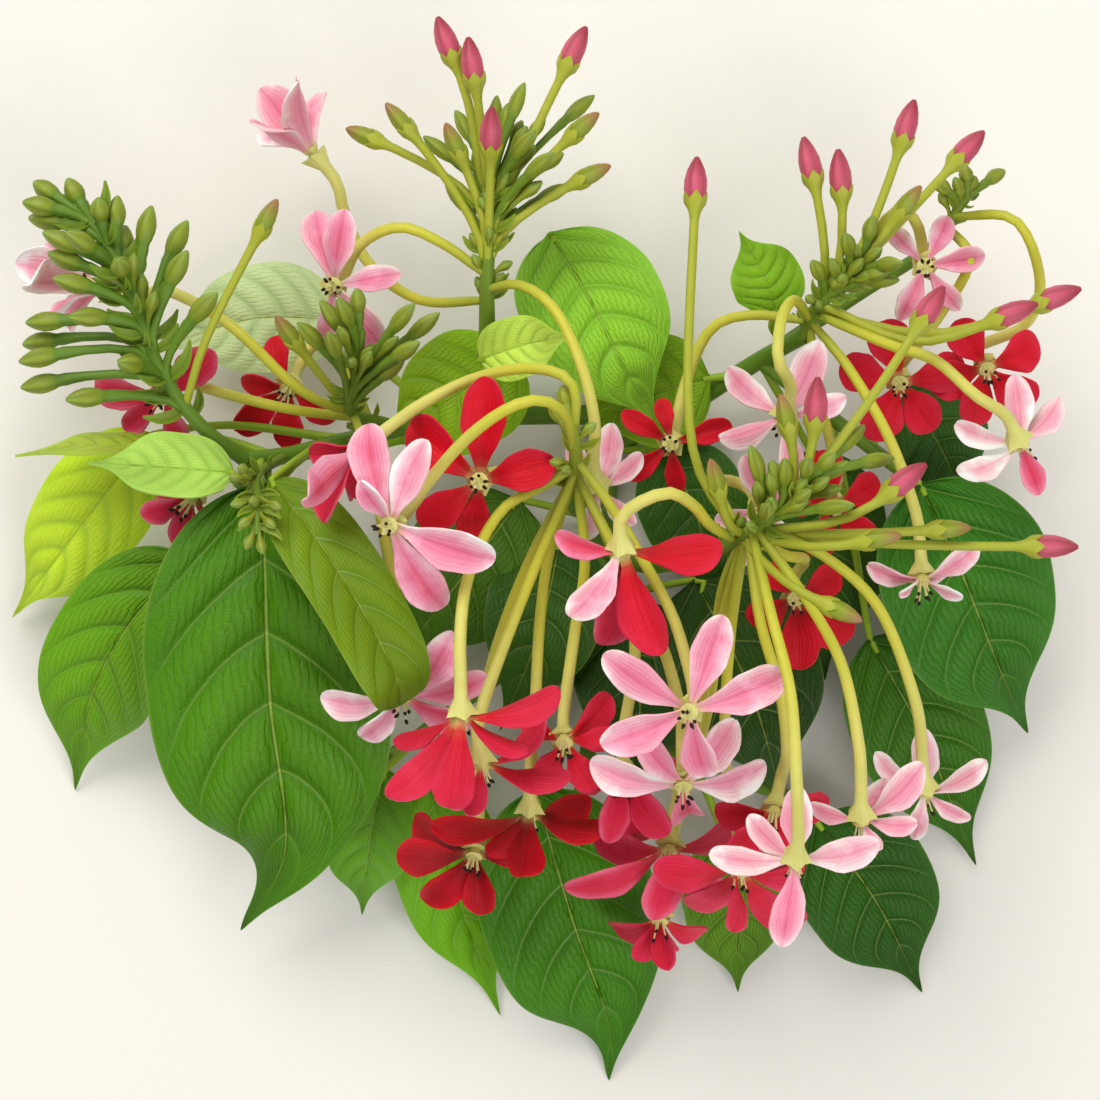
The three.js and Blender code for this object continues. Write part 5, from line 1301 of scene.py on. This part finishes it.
# Lamps: name, place in metres, watts, colour
LAMPS = (
    ("large_lamp", (-0.4, 0.8, 1), 13, (1, 0.99, 0.95)),
    ("fill_lamp", (0.6, -0.7, 1.2), 9.5, (1, 1, 1)),
)
AIR_COLOUR = (1, 0.99, 0.96, 1)
AIR_STRENGTH = 0.42
SURFACE_REACH = 3  # metres from the middle of the surface to its edge


def make_surface(scene, settings):
    """The pale surface under the spray."""
    bm = bmesh.new()
    bmesh.ops.create_grid(bm, x_segments=4, y_segments=4, size=SURFACE_REACH)
    mesh = bpy.data.meshes.new("surface")
    bm.to_mesh(mesh)
    bm.free()
    mesh.materials.append(table_look(settings.surface_colour))
    surface = bpy.data.objects.new("surface", mesh)
    scene.collection.objects.link(surface)


def make_light(scene, settings):
    """Soft light from all around and from two broad lamps."""
    world = bpy.data.worlds.new("studio")
    world.use_nodes = True
    background = next(n for n in world.node_tree.nodes if n.type == "BACKGROUND")
    background.inputs["Color"].default_value = AIR_COLOUR
    background.inputs["Strength"].default_value = AIR_STRENGTH
    scene.world = world
    for name, place, power, colour in LAMPS:
        light = bpy.data.lights.new(name, "AREA")
        light.size = settings.softness
        light.energy = power
        light.color = colour
        lamp = bpy.data.objects.new(name, light)
        lamp.location = place
        lamp.rotation_euler = (-Vector(place)).to_track_quat("-Z", "Y").to_euler()
        scene.collection.objects.link(lamp)


def make_camera(scene, settings):
    """A camera that looks straight down on the spray."""
    lens = bpy.data.cameras.new("camera")
    lens.lens = settings.lens
    lens.sensor_width = 36
    lens.clip_start = 0.01
    camera = bpy.data.objects.new("camera", lens)
    camera.location = (SHIFT[0] * MILLIMETRE, SHIFT[1] * MILLIMETRE, settings.eye_height)
    scene.collection.objects.link(camera)
    scene.camera = camera


class CREEPER_OT_stage(bpy.types.Operator):
    """Make the surface, the light and the camera"""

    bl_idname = "creeper.stage"
    bl_label = "Stage"

    def execute(self, context):
        scene = context.scene
        scene.view_settings.view_transform = "Standard"
        make_surface(scene, scene.creeper_stage)
        make_light(scene, scene.creeper_stage)
        make_camera(scene, scene.creeper_stage)
        return {"FINISHED"}


OPERATORS = (CREEPER_OT_vine, CREEPER_OT_leaves, CREEPER_OT_spikes, CREEPER_OT_blooms, CREEPER_OT_stage)


class CREEPER_PT_panel(bpy.types.Panel):
    """The sizes and colours of the spray, and a button for each kind of piece"""

    bl_idname = "CREEPER_PT_panel"
    bl_label = "Rangoon Creeper"
    bl_space_type = "VIEW_3D"
    bl_region_type = "UI"
    bl_category = "Creeper"

    def draw(self, context):
        for group in ("creeper_leaves", "creeper_flowers", "creeper_stage"):
            settings = getattr(context.scene, group)
            for name in settings.__annotations__:
                self.layout.prop(settings, name)
        for operator in OPERATORS:
            self.layout.operator(operator.bl_idname)


CLASSES = (CreeperLeafSettings, CreeperFlowerSettings, CreeperStageSettings, *OPERATORS, CREEPER_PT_panel)


def register():
    for cls in CLASSES:
        bpy.utils.register_class(cls)
    bpy.types.Scene.creeper_leaves = PointerProperty(type=CreeperLeafSettings)
    bpy.types.Scene.creeper_flowers = PointerProperty(type=CreeperFlowerSettings)
    bpy.types.Scene.creeper_stage = PointerProperty(type=CreeperStageSettings)


def unregister():
    del bpy.types.Scene.creeper_stage
    del bpy.types.Scene.creeper_flowers
    del bpy.types.Scene.creeper_leaves
    for cls in reversed(CLASSES):
        bpy.utils.unregister_class(cls)


def main():
    register()
    bpy.ops.creeper.vine()
    bpy.ops.creeper.leaves()
    bpy.ops.creeper.spikes()
    bpy.ops.creeper.blooms()
    bpy.ops.creeper.stage()


if __name__ == "__main__":
    main()
